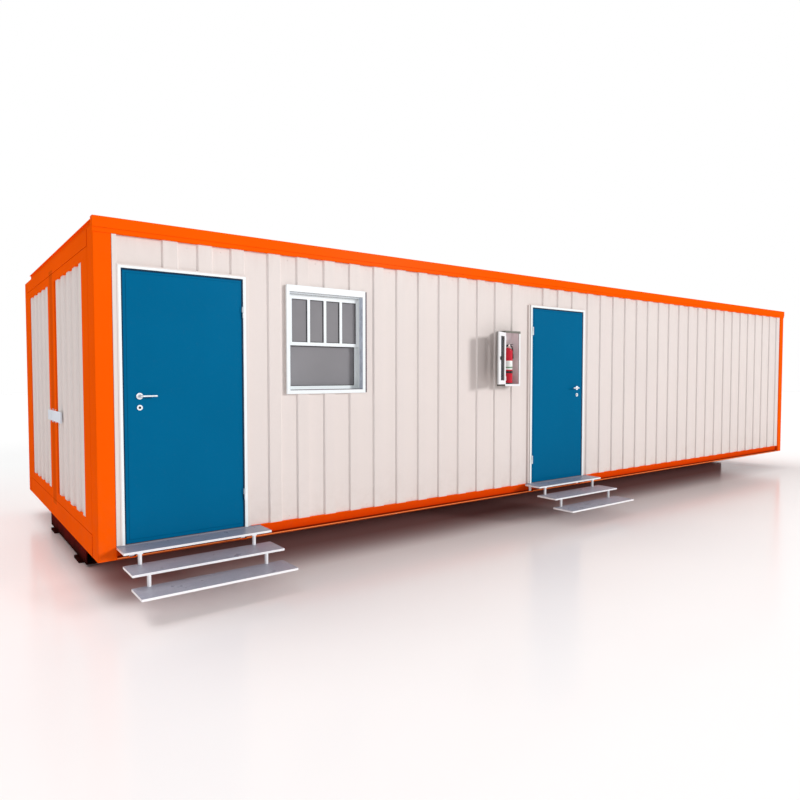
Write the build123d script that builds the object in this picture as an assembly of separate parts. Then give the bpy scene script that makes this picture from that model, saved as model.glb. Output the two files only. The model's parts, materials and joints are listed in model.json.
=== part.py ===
from build123d import *
import math
import os

# Portable site cabin on two skids, in millimetres.
# Pieces are drawn from the cabin's front left corner: X runs along the length,
# Y runs from the front face to the back, Z runs up from the ground.

os.makedirs("parts", exist_ok=True)

# Overall size
LENGTH = 12192
WIDTH = 4010
SKID_HEIGHT = 300
FRAME_HEIGHT = 2612
FASCIA_RISE = 70
WALL_DEPTH = 130

# Clearances
DOOR_GAP = 5
HINGE_GAP = 0.3
SEAT_GAP = 0.3

# Corner posts
POST_FACE = 137
POST_SIDE = 200
POST_WALL = 8
POST_RADIUS = 10

# Corrugated sheet
RIB_PITCH = 290
RIB_CREST = 115
RIB_SLOPE = 10
RIB_DEPTH = 18
BACK_RIB_START = 98
DOOR_1_RIB_START = 352
WINDOW_RIB_START = 211
DOOR_2_RIB_START = 236
LONG_BAY_RIB_START = 75
SHEET_SETBACK = 8

# Bottom rails
RAIL_HEIGHT = 109
RAIL_LIP = 35
RAIL_GAUGE = 6
END_SILL_HEIGHT = 274

# Top rails
FASCIA_HEIGHT = 121
FASCIA_LIP = 36
FASCIA_OVERHANG = 12
FASCIA_RETURN = 60
FASCIA_GAUGE = 6
BACK_RAIL_HEIGHT = 130
END_HEADER_HEIGHT = 220
TUBE_WALL = 6

# Roof
ROOF_FRONT_RISE = 40
ROOF_BACK_RISE = 8
ROOF_BACK_INSET = 190
TRIM_RISE = 53
TRIM_SETBACK = 14
TRIM_GAUGE = 6
TRIM_BACK_INSET = 450
SEAM_COUNT = 19
SEAM_WIDTH = 30
SEAM_HEIGHT = 18
CEILING_THICKNESS = 90

# Floor
DECK_THICKNESS = 28
JOIST_COUNT = 19
JOIST_FLANGE = 50
JOIST_GAUGE = 5

# Skids
SKID_INSET = 70
SKID_SPREAD = 1380
SKID_FLANGE = 240
SKID_PLATE = 25
SKID_WEB = 14
SKID_FAR_SHORTFALL = 165
CROSS_INSET = 100
CROSS_DEPTH = 100
CROSS_OVERRUN = 190
CROSS_GAUGE = 8

# Doors on the front
DOOR_1_INSET = 33
DOOR_2_LEFT = 4968
DOOR_HEADROOM = 226
LEAF_WIDTH = 1000
LEAF_THICKNESS = 45
LEAF_SETBACK = 2
LEAF_BORDER = 28
LEAF_STEP = 4
FRAME_FACE = 30
FRAME_PROUD = 6
STOP_WIDTH = 15
THRESHOLD_RISE = 15

# Door hinges
KNUCKLE_RADIUS = 8
KNUCKLE_LENGTH = 50
PIN_RADIUS = 4
PIN_OVERRUN = 40
HINGE_STANDOFF = 14
FLAP_WIDTH = 24
FLAP_GAUGE = 3
HINGE_LOW = 290
HINGE_HIGH = 1895

# Door handles
HANDLE_BACKSET = 122
HANDLE_HEIGHT = 1178
LEVER_RADIUS = 9
LEVER_LENGTH = 125
LEVER_STANDOFF = 48
SPINDLE_RADIUS = 7
ROSE_RADIUS = 26
ROSE_THICKNESS = 8
LOCK_DROP = 92
LOCK_RADIUS = 22
KEYWAY_WIDTH = 4
KEYWAY_HEIGHT = 16

# Window
WINDOW_TO_DOOR = 388
WINDOW_WIDTH = 868
WINDOW_HEADROOM = 264
WINDOW_HEIGHT = 1010
WINDOW_PROUD = 14
WINDOW_SIDE = 30
WINDOW_HEAD = 64
WINDOW_CILL = 34
WINDOW_LAP = 22
SASH_RECESS = 58
SASH_THICKNESS = 34
SASH_GAP = 1
SASH_LEFT_STILE = 57
SASH_RIGHT_STILE = 33
SASH_TOP_RAIL = 52
SASH_BOTTOM_RAIL = 38
MEETING_RAIL = 32
MEETING_HEIGHT = 473
MUNTIN_COUNT = 3
MUNTIN_WIDTH = 28
GLASS_SETBACK = 14
GLASS_THICKNESS = 6
BEAD_WIDTH = 10
BEAD_DEPTH = 14

# Extinguisher cabinet
CABINET_TO_DOOR = 322
CABINET_WIDTH = 256
CABINET_DEPTH = 135
CABINET_HEADROOM = 578
CABINET_HEIGHT = 650
CABINET_SHEET = 8
CABINET_FLANGE = 25
CABINET_LEAF = 18
CABINET_HINGE_STILE = 54
CABINET_FREE_STILE = 76
CABINET_RAIL = 50
CABINET_OPEN = 154
CABINET_HINGE_RADIUS = 6
CABINET_HINGE_LENGTH = 25
CABINET_HINGE_INSET = 90
CABINET_PIN_RADIUS = 3
CABINET_PIN_OVERRUN = 20
KNOB_RADIUS = 15
KNOB_LENGTH = 14
KNOB_INSET = 48
EXTINGUISHER_RADIUS = 54
EXTINGUISHER_HEIGHT = 440
EXTINGUISHER_NECK = 18
EXTINGUISHER_SIDE_GAP = 52
EXTINGUISHER_GRIP = 80

# End doors
END_GAP = 6
END_LEAF_THICKNESS = 60
END_HINGE_STILE = 244
END_MEETING_STILE = 195
END_TOP_RAIL = 85
END_BOTTOM_RAIL = 90
END_SHEET_SETBACK = 6
END_SHEET_THICKNESS = 50
END_RIB_START = 60
END_PIVOT_INSET = 15
END_PIVOT_RADIUS = 8
END_PIVOT_REACH = 24
LOCK_NEAR_WIDTH = 512
LOCK_FAR_WIDTH = 242
LOCK_PLATE_HEIGHT = 105
LOCK_PLATE_DEPTH = 14
LOCK_PLATE_RISE = 814

# Steps
TREAD_WIDTH = 1222
TREAD_FRONT = 230
TREAD_GOING = 246
TREAD_RISE = 107
TREAD_THICKNESS = 18
TREAD_GAUGE = 4
TREAD_COUNT = 3
TREAD_DROP = 5
STEP_POST = 30
STEP_POST_SPREAD = 943
STEP_POST_SHIFT = -18
HANGER_WIDTH = 40
HANGER_GAUGE = 8
STEPS_1_SHIFT = 41
STEPS_2_SHIFT = 0

# Levels and planes that follow from the sizes
WALL_INNER = SHEET_SETBACK + WALL_DEPTH
BASE = SKID_HEIGHT
RAIL_TOP = BASE + RAIL_HEIGHT
FRAME_TOP = BASE + FRAME_HEIGHT
CAP_TOP = FRAME_TOP + FASCIA_RISE
FASCIA_BOTTOM = CAP_TOP - FASCIA_HEIGHT
CEILING_BOTTOM = FRAME_TOP - CEILING_THICKNESS
RIGHT_POST = LENGTH - POST_FACE
BACK_POST = WIDTH - POST_SIDE
DOOR_WIDTH = LEAF_WIDTH + 2 * DOOR_GAP + 2 * FRAME_FACE
DOOR_1_LEFT = POST_FACE + DOOR_1_INSET
DOOR_1_RIGHT = DOOR_1_LEFT + DOOR_WIDTH
DOOR_2_RIGHT = DOOR_2_LEFT + DOOR_WIDTH
DOOR_TOP = FASCIA_BOTTOM - DOOR_HEADROOM
LEAF_BOTTOM = RAIL_TOP + DOOR_GAP + 2
LEAF_TOP = DOOR_TOP - FRAME_FACE - DOOR_GAP
WINDOW_LEFT = DOOR_1_RIGHT + WINDOW_TO_DOOR
WINDOW_RIGHT = WINDOW_LEFT + WINDOW_WIDTH
WINDOW_TOP = FASCIA_BOTTOM - WINDOW_HEADROOM
WINDOW_BOTTOM = WINDOW_TOP - WINDOW_HEIGHT
CABINET_LEFT = DOOR_2_LEFT - CABINET_TO_DOOR - CABINET_WIDTH
CABINET_BOTTOM = FASCIA_BOTTOM - CABINET_HEADROOM - CABINET_HEIGHT
SKID_END = LENGTH - SKID_FAR_SHORTFALL
MIDDLE = WIDTH / 2
LEFT_SILL_HEIGHT = END_SILL_HEIGHT - END_BOTTOM_RAIL - END_GAP
LEFT_HEADER_HEIGHT = END_HEADER_HEIGHT - END_TOP_RAIL - END_GAP
NEAR_LEAF_Y = (POST_SIDE + END_GAP, MIDDLE - END_GAP / 2)
END_LEAF_Z = (BASE + LEFT_SILL_HEIGHT + END_GAP, FRAME_TOP - LEFT_HEADER_HEIGHT - END_GAP)
TREAD_DEPTH = TREAD_GOING + STEP_POST + TREAD_GAUGE
STEP_REACH = TREAD_FRONT + (TREAD_COUNT - 1) * TREAD_GOING
END_REACH = LOCK_PLATE_DEPTH

# The model's origin is on the ground, at the middle of everything it covers.
ORIGIN_X = (LENGTH - END_REACH) / 2
ORIGIN_Y = (WIDTH - STEP_REACH) / 2
PLACE = Location((-ORIGIN_X, -ORIGIN_Y, 0))


def save(node, *solids):
    """Write one sub-part, moved to the model's own origin."""
    placed = [solid.moved(PLACE) for item in solids for solid in item.solids()]
    shape = placed[0] if len(placed) == 1 else Compound(children=placed)
    export_step(shape, "parts/" + node + ".step")


def block(x, y, z):
    """A box from three pairs of limits."""
    size = (x[1] - x[0], y[1] - y[0], z[1] - z[0])
    return Pos(x[0], y[0], z[0]) * Box(*size, align=(Align.MIN, Align.MIN, Align.MIN))


def along_x(points, x):
    """A profile of (y, z) points drawn out between two x limits."""
    face = make_face(Plane.YZ * Polyline(*points, close=True))
    return Pos(x[0], 0, 0) * extrude(face, x[1] - x[0], dir=(1, 0, 0))


def along_y(points, y):
    """A profile of (x, z) points drawn out between two y limits."""
    spots = [(x, y[0], z) for x, z in points]
    return extrude(make_face(Polyline(*spots, close=True)), y[1] - y[0], dir=(0, 1, 0))


def rod(centre, radius, length, direction):
    """A round bar from a point along a direction."""
    return extrude(Plane(centre, z_dir=direction) * Circle(radius), length)


def mirrored_in_length(shape):
    """The same piece at the other end of the cabin."""
    return mirror(shape, Plane.YZ.offset(LENGTH / 2))


def mirrored_in_width(shape):
    """The same piece on the other side of the cabin."""
    return mirror(shape, Plane.XZ.offset(-MIDDLE))


def rib_outline(span, start):
    """Points of the ribbed face, as (distance along, height of rib)."""
    points = [(0, 0)]
    foot = start
    while foot + 2 * RIB_SLOPE + RIB_CREST < span:
        points.append((foot, 0))
        points.append((foot + RIB_SLOPE, RIB_DEPTH))
        points.append((foot + RIB_SLOPE + RIB_CREST, RIB_DEPTH))
        points.append((foot + 2 * RIB_SLOPE + RIB_CREST, 0))
        foot += RIB_PITCH
    points.append((span, 0))
    return points


def ribbed_slab(span, start, thickness, z):
    """A wall with vertical ribs on its outer face, from the origin along X."""
    outer = [(s, RIB_DEPTH - rise, z[0]) for s, rise in rib_outline(span, start)]
    inner = [(span, thickness, z[0]), (0, thickness, z[0])]
    return extrude(make_face(Polyline(*outer, *inner, close=True)), z[1] - z[0], dir=(0, 0, 1))


def tube(x, y, z, axis, radius=0):
    """A hollow section between limits, open along one axis."""
    outer = block(x, y, z)
    if radius:
        outer = fillet(outer.edges().filter_by(axis), radius)
    limits = {Axis.X: [0, 1, 1], Axis.Y: [1, 0, 1], Axis.Z: [1, 1, 0]}[axis]
    wall = POST_WALL if axis == Axis.Z else TUBE_WALL
    spans = [(a[0] + wall * k, a[1] - wall * k) for a, k in zip((x, y, z), limits)]
    return outer - block(*spans)


def end_pivots(radius, reach):
    """The near end door's two pivot pins, standing out of its top and bottom edges."""
    spot = (END_PIVOT_INSET, NEAR_LEAF_Y[0] + END_PIVOT_INSET)
    lower = rod((*spot, END_LEAF_Z[0] - reach), radius, reach, (0, 0, 1))
    return lower + rod((*spot, END_LEAF_Z[1]), radius, reach, (0, 0, 1))


def bored_for_pivots(shape):
    """An end sill or header with bores for both end doors' pivot pins."""
    bores = end_pivots(END_PIVOT_RADIUS + HINGE_GAP, END_GAP + END_PIVOT_REACH + 1)
    return shape - bores - mirrored_in_width(bores)


# Skids and cross beams

def skid():
    """The front skid: an I-section, its lower flange run out under the cross beams."""
    half = SKID_FLANGE / 2
    centre = MIDDLE - SKID_SPREAD / 2
    web = (centre - SKID_WEB / 2, centre + SKID_WEB / 2)
    beam_ends = (CROSS_INSET + CROSS_DEPTH, SKID_END - CROSS_INSET - CROSS_DEPTH)
    flat = (centre - half, centre + half)
    lower = block((SKID_INSET, SKID_END - SKID_INSET), flat, (0, SKID_PLATE))
    upper = block(beam_ends, flat, (BASE - SKID_PLATE, BASE))
    return lower + block(beam_ends, web, (SKID_PLATE, BASE - SKID_PLATE)) + upper


def cross_beam():
    """The left channel that ties the skids, open towards the cabin's middle."""
    x = (CROSS_INSET, CROSS_INSET + CROSS_DEPTH)
    reach = SKID_SPREAD / 2 + SKID_FLANGE / 2 + CROSS_OVERRUN
    y = (MIDDLE - reach, MIDDLE + reach)
    z = (SKID_PLATE, BASE)
    inner_z = (z[0] + CROSS_GAUGE, z[1] - CROSS_GAUGE)
    return block(x, y, z) - block((x[0] + CROSS_GAUGE, x[1]), y, inner_z)


save("skid_front", skid())
save("skid_back", mirrored_in_width(skid()))
save("skid_cross_left", cross_beam())
save("skid_cross_right", mirror(cross_beam(), Plane.YZ.offset(SKID_END / 2)))


# Posts

def post():
    """The front left corner post, a rounded hollow section."""
    return tube((0, POST_FACE), (0, POST_SIDE), (BASE, FRAME_TOP), Axis.Z, POST_RADIUS)


save("post_front_left", post())
save("post_front_right", mirrored_in_length(post()))
save("post_back_left", mirrored_in_width(post()))
save("post_back_right", mirrored_in_width(mirrored_in_length(post())))


# Floor

def bottom_rail():
    """The front rail: a channel open outwards, its top flange carrying the wall."""
    web = RAIL_LIP + RAIL_GAUGE
    points = [
        (0, BASE), (web, BASE), (web, RAIL_TOP - RAIL_GAUGE),
        (WALL_INNER, RAIL_TOP - RAIL_GAUGE), (WALL_INNER, RAIL_TOP), (0, RAIL_TOP),
        (0, RAIL_TOP - RAIL_GAUGE), (RAIL_LIP, RAIL_TOP - RAIL_GAUGE),
        (RAIL_LIP, BASE + RAIL_GAUGE), (0, BASE + RAIL_GAUGE),
    ]
    return along_x(points, (POST_FACE, RIGHT_POST))


def joist(x):
    """One floor joist, a channel between the rails' webs."""
    y = (RAIL_LIP + RAIL_GAUGE, WIDTH - RAIL_LIP - RAIL_GAUGE)
    z = (BASE, RAIL_TOP - DECK_THICKNESS)
    inner_z = (z[0] + JOIST_GAUGE, z[1] - JOIST_GAUGE)
    return block((x, x + JOIST_FLANGE), y, z) - block((x + JOIST_GAUGE, x + JOIST_FLANGE), y, inner_z)


def joists():
    """All floor joists, evenly spaced between the end sills."""
    pitch = (LENGTH - 2 * WALL_INNER) / (JOIST_COUNT + 1)
    return [joist(WALL_INNER + pitch * (n + 1) - JOIST_FLANGE / 2) for n in range(JOIST_COUNT)]


def end_sill(height, x):
    """A hollow section between the posts at one end, on the cross beam."""
    return tube(x, (POST_SIDE, BACK_POST), (BASE, BASE + height), Axis.Y)


def room_slab(z):
    """A flat slab that fills the room from wall to wall, clear of the posts."""
    slab = block((WALL_INNER, LENGTH - WALL_INNER), (WALL_INNER, WIDTH - WALL_INNER), z)
    for corner_y in ((0, POST_SIDE), (BACK_POST, WIDTH)):
        for corner_x in ((0, POST_FACE), (RIGHT_POST, LENGTH)):
            slab -= block(corner_x, corner_y, z)
    return slab


LEFT_END = (0, WALL_INNER)
RIGHT_END = (LENGTH - WALL_INNER, LENGTH)

save("bottom_rail_front", bottom_rail())
save("bottom_rail_back", mirrored_in_width(bottom_rail()))
save("end_sill_left", bored_for_pivots(end_sill(LEFT_SILL_HEIGHT, LEFT_END)))
save("end_sill_right", end_sill(END_SILL_HEIGHT, RIGHT_END))
save("floor_joists", *joists())
save("floor_deck", room_slab((RAIL_TOP - DECK_THICKNESS, RAIL_TOP)))


# Top rails and roof

def front_top_rail():
    """The deep front fascia, with a shelf over the wall and a return on the posts."""
    gauge = FASCIA_GAUGE
    fold = FASCIA_BOTTOM + FASCIA_LIP
    plate = block((0, LENGTH), (-FASCIA_OVERHANG, 0), (fold, CAP_TOP))
    plate += block((0, LENGTH), (-FASCIA_OVERHANG / 2, 0), (FASCIA_BOTTOM, fold))
    top = block((0, LENGTH), (0, FASCIA_RETURN), (CAP_TOP - gauge, CAP_TOP))
    upstand = block((0, LENGTH), (FASCIA_RETURN - gauge, FASCIA_RETURN), (FRAME_TOP, CAP_TOP - gauge))
    shelf = block((POST_FACE, RIGHT_POST), (0, WALL_INNER), (FASCIA_BOTTOM, FASCIA_BOTTOM + gauge))
    inner = (FASCIA_RETURN - gauge, FASCIA_RETURN)
    riser = block((POST_FACE, RIGHT_POST), inner, (FASCIA_BOTTOM + gauge, FRAME_TOP))
    closer = block((0, gauge), (0, FASCIA_RETURN - gauge), (FRAME_TOP, CAP_TOP - gauge))
    return plate + top + upstand + shelf + riser + closer + mirrored_in_length(closer)


def roof_profile(rise):
    """The tapered roof section, raised by an even amount."""
    return [
        (FASCIA_RETURN, FRAME_TOP), (WIDTH - ROOF_BACK_INSET, FRAME_TOP),
        (WIDTH - ROOF_BACK_INSET, FRAME_TOP + ROOF_BACK_RISE + rise),
        (FASCIA_RETURN, FRAME_TOP + ROOF_FRONT_RISE + rise),
    ]


def roof():
    """The roof panel with standing seams that run down its slope."""
    ends = (TRIM_SETBACK + TRIM_GAUGE, LENGTH - TRIM_SETBACK - TRIM_GAUGE)
    panel = along_x(roof_profile(0), ends)
    pitch = (ends[1] - ends[0]) / (SEAM_COUNT + 1)
    for n in range(SEAM_COUNT):
        start = ends[0] + pitch * (n + 1) - SEAM_WIDTH / 2
        panel += along_x(roof_profile(SEAM_HEIGHT), (start, start + SEAM_WIDTH))
    return panel


def roof_trim():
    """The left end's roof trim: an upright plate under a lip that reaches the end face."""
    y = (FASCIA_RETURN, WIDTH - TRIM_BACK_INSET)
    top = FRAME_TOP + TRIM_RISE
    plate = block((TRIM_SETBACK, TRIM_SETBACK + TRIM_GAUGE), y, (FRAME_TOP, top))
    return plate + block((0, TRIM_SETBACK), y, (top - TRIM_GAUGE, top))


def end_header(height, x):
    """A hollow section between the posts at the top of one end."""
    return tube(x, (POST_SIDE, BACK_POST), (FRAME_TOP - height, FRAME_TOP), Axis.Y)


back_rail_y = (WIDTH - WALL_INNER, WIDTH)
back_rail = tube((POST_FACE, RIGHT_POST), back_rail_y, (FRAME_TOP - BACK_RAIL_HEIGHT, FRAME_TOP), Axis.X)

save("top_rail_front", front_top_rail())
save("top_rail_back", back_rail)
save("end_header_left", bored_for_pivots(end_header(LEFT_HEADER_HEIGHT, LEFT_END)))
save("end_header_right", end_header(END_HEADER_HEIGHT, RIGHT_END))
save("ceiling_panel", room_slab((CEILING_BOTTOM, FRAME_TOP)))
save("roof_panel", roof())
save("roof_trim_left", roof_trim())
save("roof_trim_right", mirrored_in_length(roof_trim()))


# Walls

def front_bay(x, start, z):
    """One ribbed bay of the front wall, its first rib at a distance from its left edge."""
    return Pos(x[0], SHEET_SETBACK, 0) * ribbed_slab(x[1] - x[0], start, WALL_DEPTH, z)


WALL_Z = (RAIL_TOP, FASCIA_BOTTOM)
HEAD_Z = (DOOR_TOP, FASCIA_BOTTOM)
CUT_LEFT = WINDOW_LEFT + WINDOW_LAP
CUT_RIGHT = WINDOW_RIGHT - WINDOW_LAP
CUT_BOTTOM = WINDOW_BOTTOM + WINDOW_LAP
CUT_TOP = WINDOW_TOP - WINDOW_LAP

window_bay = front_bay((DOOR_1_RIGHT, DOOR_2_LEFT), WINDOW_RIB_START, WALL_Z)
window_bay -= block((CUT_LEFT, CUT_RIGHT), (-RIB_DEPTH, 2 * WALL_INNER), (CUT_BOTTOM, CUT_TOP))

save("front_wall_corner", front_bay((POST_FACE, DOOR_1_LEFT), DOOR_1_INSET, WALL_Z))
save("front_wall_over_door_1", front_bay((DOOR_1_LEFT, DOOR_1_RIGHT), DOOR_1_RIB_START, HEAD_Z))
save("front_wall_window_bay", window_bay)
save("front_wall_over_door_2", front_bay((DOOR_2_LEFT, DOOR_2_RIGHT), DOOR_2_RIB_START, HEAD_Z))
save("front_wall_long_bay", front_bay((DOOR_2_RIGHT, RIGHT_POST), LONG_BAY_RIB_START, WALL_Z))

back_z = (RAIL_TOP, FRAME_TOP - BACK_RAIL_HEIGHT)
back_slab = ribbed_slab(RIGHT_POST - POST_FACE, BACK_RIB_START, WALL_DEPTH, back_z)
back_wall = Pos(RIGHT_POST, WIDTH - SHEET_SETBACK, 0) * Rot(0, 0, 180) * back_slab
end_z = (BASE + END_SILL_HEIGHT, FRAME_TOP - END_HEADER_HEIGHT)
end_slab = ribbed_slab(BACK_POST - POST_SIDE, END_RIB_START, WALL_DEPTH, end_z)
right_wall = Pos(LENGTH - SHEET_SETBACK, POST_SIDE, 0) * Rot(0, 0, 90) * end_slab

save("back_wall", back_wall)
save("right_end_wall", right_wall)


# Doors on the front

def door_frame(left):
    """The door lining through the wall, with a stop behind the leaf and a threshold."""
    x = (left, left + DOOR_WIDTH)
    pocket_x = (x[0] + FRAME_FACE, x[1] - FRAME_FACE)
    stop_x = (pocket_x[0] + STOP_WIDTH, pocket_x[1] - STOP_WIDTH)
    pocket_top = DOOR_TOP - FRAME_FACE
    stop_y = LEAF_THICKNESS + FRAME_PROUD
    lining = block(x, (-FRAME_PROUD, WALL_INNER), (RAIL_TOP, DOOR_TOP))
    pocket = block(pocket_x, (-2 * FRAME_PROUD, stop_y), (RAIL_TOP - 1, pocket_top))
    way_z = (RAIL_TOP + THRESHOLD_RISE, pocket_top - STOP_WIDTH)
    way = block(stop_x, (-2 * FRAME_PROUD, 2 * WALL_INNER), way_z)
    return lining - pocket - way


def leaf_plate(x, z):
    """A steel leaf with a pressed border on both faces."""
    y = (-LEAF_SETBACK, LEAF_THICKNESS - LEAF_SETBACK)
    inset = LEAF_BORDER
    core = block(x, (y[0] + LEAF_STEP, y[1] - LEAF_STEP), z)
    raised = block((x[0] + inset, x[1] - inset), y, (z[0] + inset, z[1] - inset))
    edges = raised.edges().filter_by(GeomType.LINE).group_by(Axis.Y)
    raised = chamfer(edges[0] + edges[-1], LEAF_STEP * 0.9)
    return core + raised


def hinge_axis(left, hinge_on_right):
    """The x place of a door's hinge pin, over the gap beside the leaf."""
    offset = FRAME_FACE + DOOR_GAP / 2
    return left + DOOR_WIDTH - offset if hinge_on_right else left + offset


def knuckle(axis_x, z, bore):
    """One hinge barrel, bored where it turns on the pin."""
    barrel = rod((axis_x, -HINGE_STANDOFF, z), KNUCKLE_RADIUS, KNUCKLE_LENGTH, (0, 0, 1))
    if bore:
        depth = PIN_OVERRUN + 1 + HINGE_GAP
        barrel -= rod((axis_x, -HINGE_STANDOFF, z - 1), PIN_RADIUS + HINGE_GAP, depth, (0, 0, 1))
    return barrel


def flap(axis_x, side, face_y, z):
    """A hinge flap from the barrel onto the leaf's or the frame's face."""
    x = sorted((axis_x + side * DOOR_GAP / 2, axis_x + side * (FLAP_WIDTH + DOOR_GAP / 2)))
    plate = block(x, (face_y - FLAP_GAUGE, face_y), (z, z + KNUCKLE_LENGTH))
    neck_x = sorted((axis_x + side * 2, axis_x + side * (KNUCKLE_RADIUS + FLAP_GAUGE)))
    neck = block(neck_x, (-HINGE_STANDOFF, face_y), (z, z + KNUCKLE_LENGTH))
    return plate + neck


def frame_hinges(left, hinge_on_right):
    """The lower halves of the hinges, with their pins, on the frame."""
    axis_x = hinge_axis(left, hinge_on_right)
    side = 1 if hinge_on_right else -1
    shapes = []
    for level in (HINGE_LOW, HINGE_HIGH):
        z = LEAF_BOTTOM + level - KNUCKLE_LENGTH
        barrel = knuckle(axis_x, z, False)
        pin = rod((axis_x, -HINGE_STANDOFF, z), PIN_RADIUS, KNUCKLE_LENGTH + PIN_OVERRUN, (0, 0, 1))
        shapes.append(barrel + pin + flap(axis_x, side, -FRAME_PROUD, z))
    return shapes


def leaf_hinges(left, hinge_on_right):
    """The upper halves of the hinges, on the leaf."""
    axis_x = hinge_axis(left, hinge_on_right)
    side = -1 if hinge_on_right else 1
    shapes = []
    for level in (HINGE_LOW, HINGE_HIGH):
        z = LEAF_BOTTOM + level + 1
        wing = flap(axis_x, side, LEAF_STEP - LEAF_SETBACK, z)
        wing -= rod((axis_x, -HINGE_STANDOFF, z - 1), KNUCKLE_RADIUS - 1, KNUCKLE_LENGTH + 2, (0, 0, 1))
        shapes.append(knuckle(axis_x, z, True) + wing)
    return shapes


def handle_x(left, hinge_on_right):
    """The x place of the handle, on the side away from the hinges."""
    inset = FRAME_FACE + DOOR_GAP + HANDLE_BACKSET
    return left + inset if hinge_on_right else left + DOOR_WIDTH - inset


def door_leaf(left, hinge_on_right):
    """A leaf with its hinge halves and the bores for spindle and lock."""
    x = (left + FRAME_FACE + DOOR_GAP, left + DOOR_WIDTH - FRAME_FACE - DOOR_GAP)
    leaf = leaf_plate(x, (LEAF_BOTTOM, LEAF_TOP))
    spot = handle_x(left, hinge_on_right)
    level = LEAF_BOTTOM + HANDLE_HEIGHT
    leaf -= rod((spot, -LEAF_THICKNESS, level), SPINDLE_RADIUS + DOOR_GAP, 3 * LEAF_THICKNESS, (0, 1, 0))
    leaf -= rod((spot, -LEAF_THICKNESS, level - LOCK_DROP), LOCK_RADIUS / 2, 3 * LEAF_THICKNESS, (0, 1, 0))
    for hinge in leaf_hinges(left, hinge_on_right):
        leaf += hinge
    return leaf


def lever(left, hinge_on_right):
    """Both levers on one spindle, each a bent round bar that points at the hinges."""
    spot = handle_x(left, hinge_on_right)
    level = LEAF_BOTTOM + HANDLE_HEIGHT
    side = 1 if hinge_on_right else -1
    outer = -LEAF_SETBACK - LEVER_STANDOFF
    inner = LEAF_THICKNESS - LEAF_SETBACK + LEVER_STANDOFF
    ends = [
        (spot + side * LEVER_LENGTH, outer, level), (spot, outer, level),
        (spot, inner, level), (spot + side * LEVER_LENGTH, inner, level),
    ]
    path = FilletPolyline(*ends, radius=2 * LEVER_RADIUS)
    profile = Plane(ends[0], z_dir=(-side, 0, 0)) * Circle(LEVER_RADIUS)
    return sweep(profile, path)


def lock_fittings(left, hinge_on_right):
    """Round roses for the levers, and the lock cylinder through the leaf."""
    spot = handle_x(left, hinge_on_right)
    level = LEAF_BOTTOM + HANDLE_HEIGHT
    outer = -LEAF_SETBACK
    inner = LEAF_THICKNESS - LEAF_SETBACK
    shapes = []
    for face, side in ((outer, -1), (inner, 1)):
        rose = rod((spot, face, level), ROSE_RADIUS, ROSE_THICKNESS, (0, side, 0))
        rose -= rod((spot, face, level), LEVER_RADIUS + 1, ROSE_THICKNESS, (0, side, 0))
        shapes.append(rose)
    start = (spot, outer - ROSE_THICKNESS, level - LOCK_DROP)
    cylinder = rod(start, LOCK_RADIUS / 2, LEAF_THICKNESS + 2 * ROSE_THICKNESS, (0, 1, 0))
    for face, side in ((outer, -1), (inner, 1)):
        cylinder += rod((spot, face, level - LOCK_DROP), LOCK_RADIUS, ROSE_THICKNESS, (0, side, 0))
        depth = sorted((face + side * (ROSE_THICKNESS + 1), face + side * 2))
        width = (spot - KEYWAY_WIDTH / 2, spot + KEYWAY_WIDTH / 2)
        middle = level - LOCK_DROP
        cylinder -= block(width, depth, (middle - KEYWAY_HEIGHT / 2, middle + KEYWAY_HEIGHT / 2))
    return shapes + [cylinder]


for name, left, hinge_on_right in (("door_1", DOOR_1_LEFT, True), ("door_2", DOOR_2_LEFT, False)):
    frame = door_frame(left)
    for half in frame_hinges(left, hinge_on_right):
        frame += half
    save(name + "_frame", frame)
    save(name + "_leaf", door_leaf(left, hinge_on_right))
    save(name + "_lever", lever(left, hinge_on_right))
    save(name + "_lock", *lock_fittings(left, hinge_on_right))


# Window

def ring(x, y, z, left, right, bottom, top):
    """A rectangular frame with its own width on each side."""
    hole = block((x[0] + left, x[1] - right), (y[0] - 1, y[1] + 1), (z[0] + bottom, z[1] - top))
    return block(x, y, z) - hole


SASH_X = (WINDOW_LEFT + WINDOW_SIDE + SASH_GAP, WINDOW_RIGHT - WINDOW_SIDE - SASH_GAP)
GLASS_X = (SASH_X[0] + SASH_LEFT_STILE, SASH_X[1] - SASH_RIGHT_STILE)
UPPER_Y = (SASH_RECESS, SASH_RECESS + SASH_THICKNESS)
LOWER_Y = (UPPER_Y[1] + SASH_GAP, UPPER_Y[1] + SASH_GAP + SASH_THICKNESS)
MEETING_Z = WINDOW_BOTTOM + MEETING_HEIGHT
UPPER_Z = (MEETING_Z - MEETING_RAIL / 2, WINDOW_TOP - WINDOW_HEAD - SEAT_GAP)
LOWER_Z = (WINDOW_BOTTOM + WINDOW_CILL + SEAT_GAP, MEETING_Z + MEETING_RAIL / 2)


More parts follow.
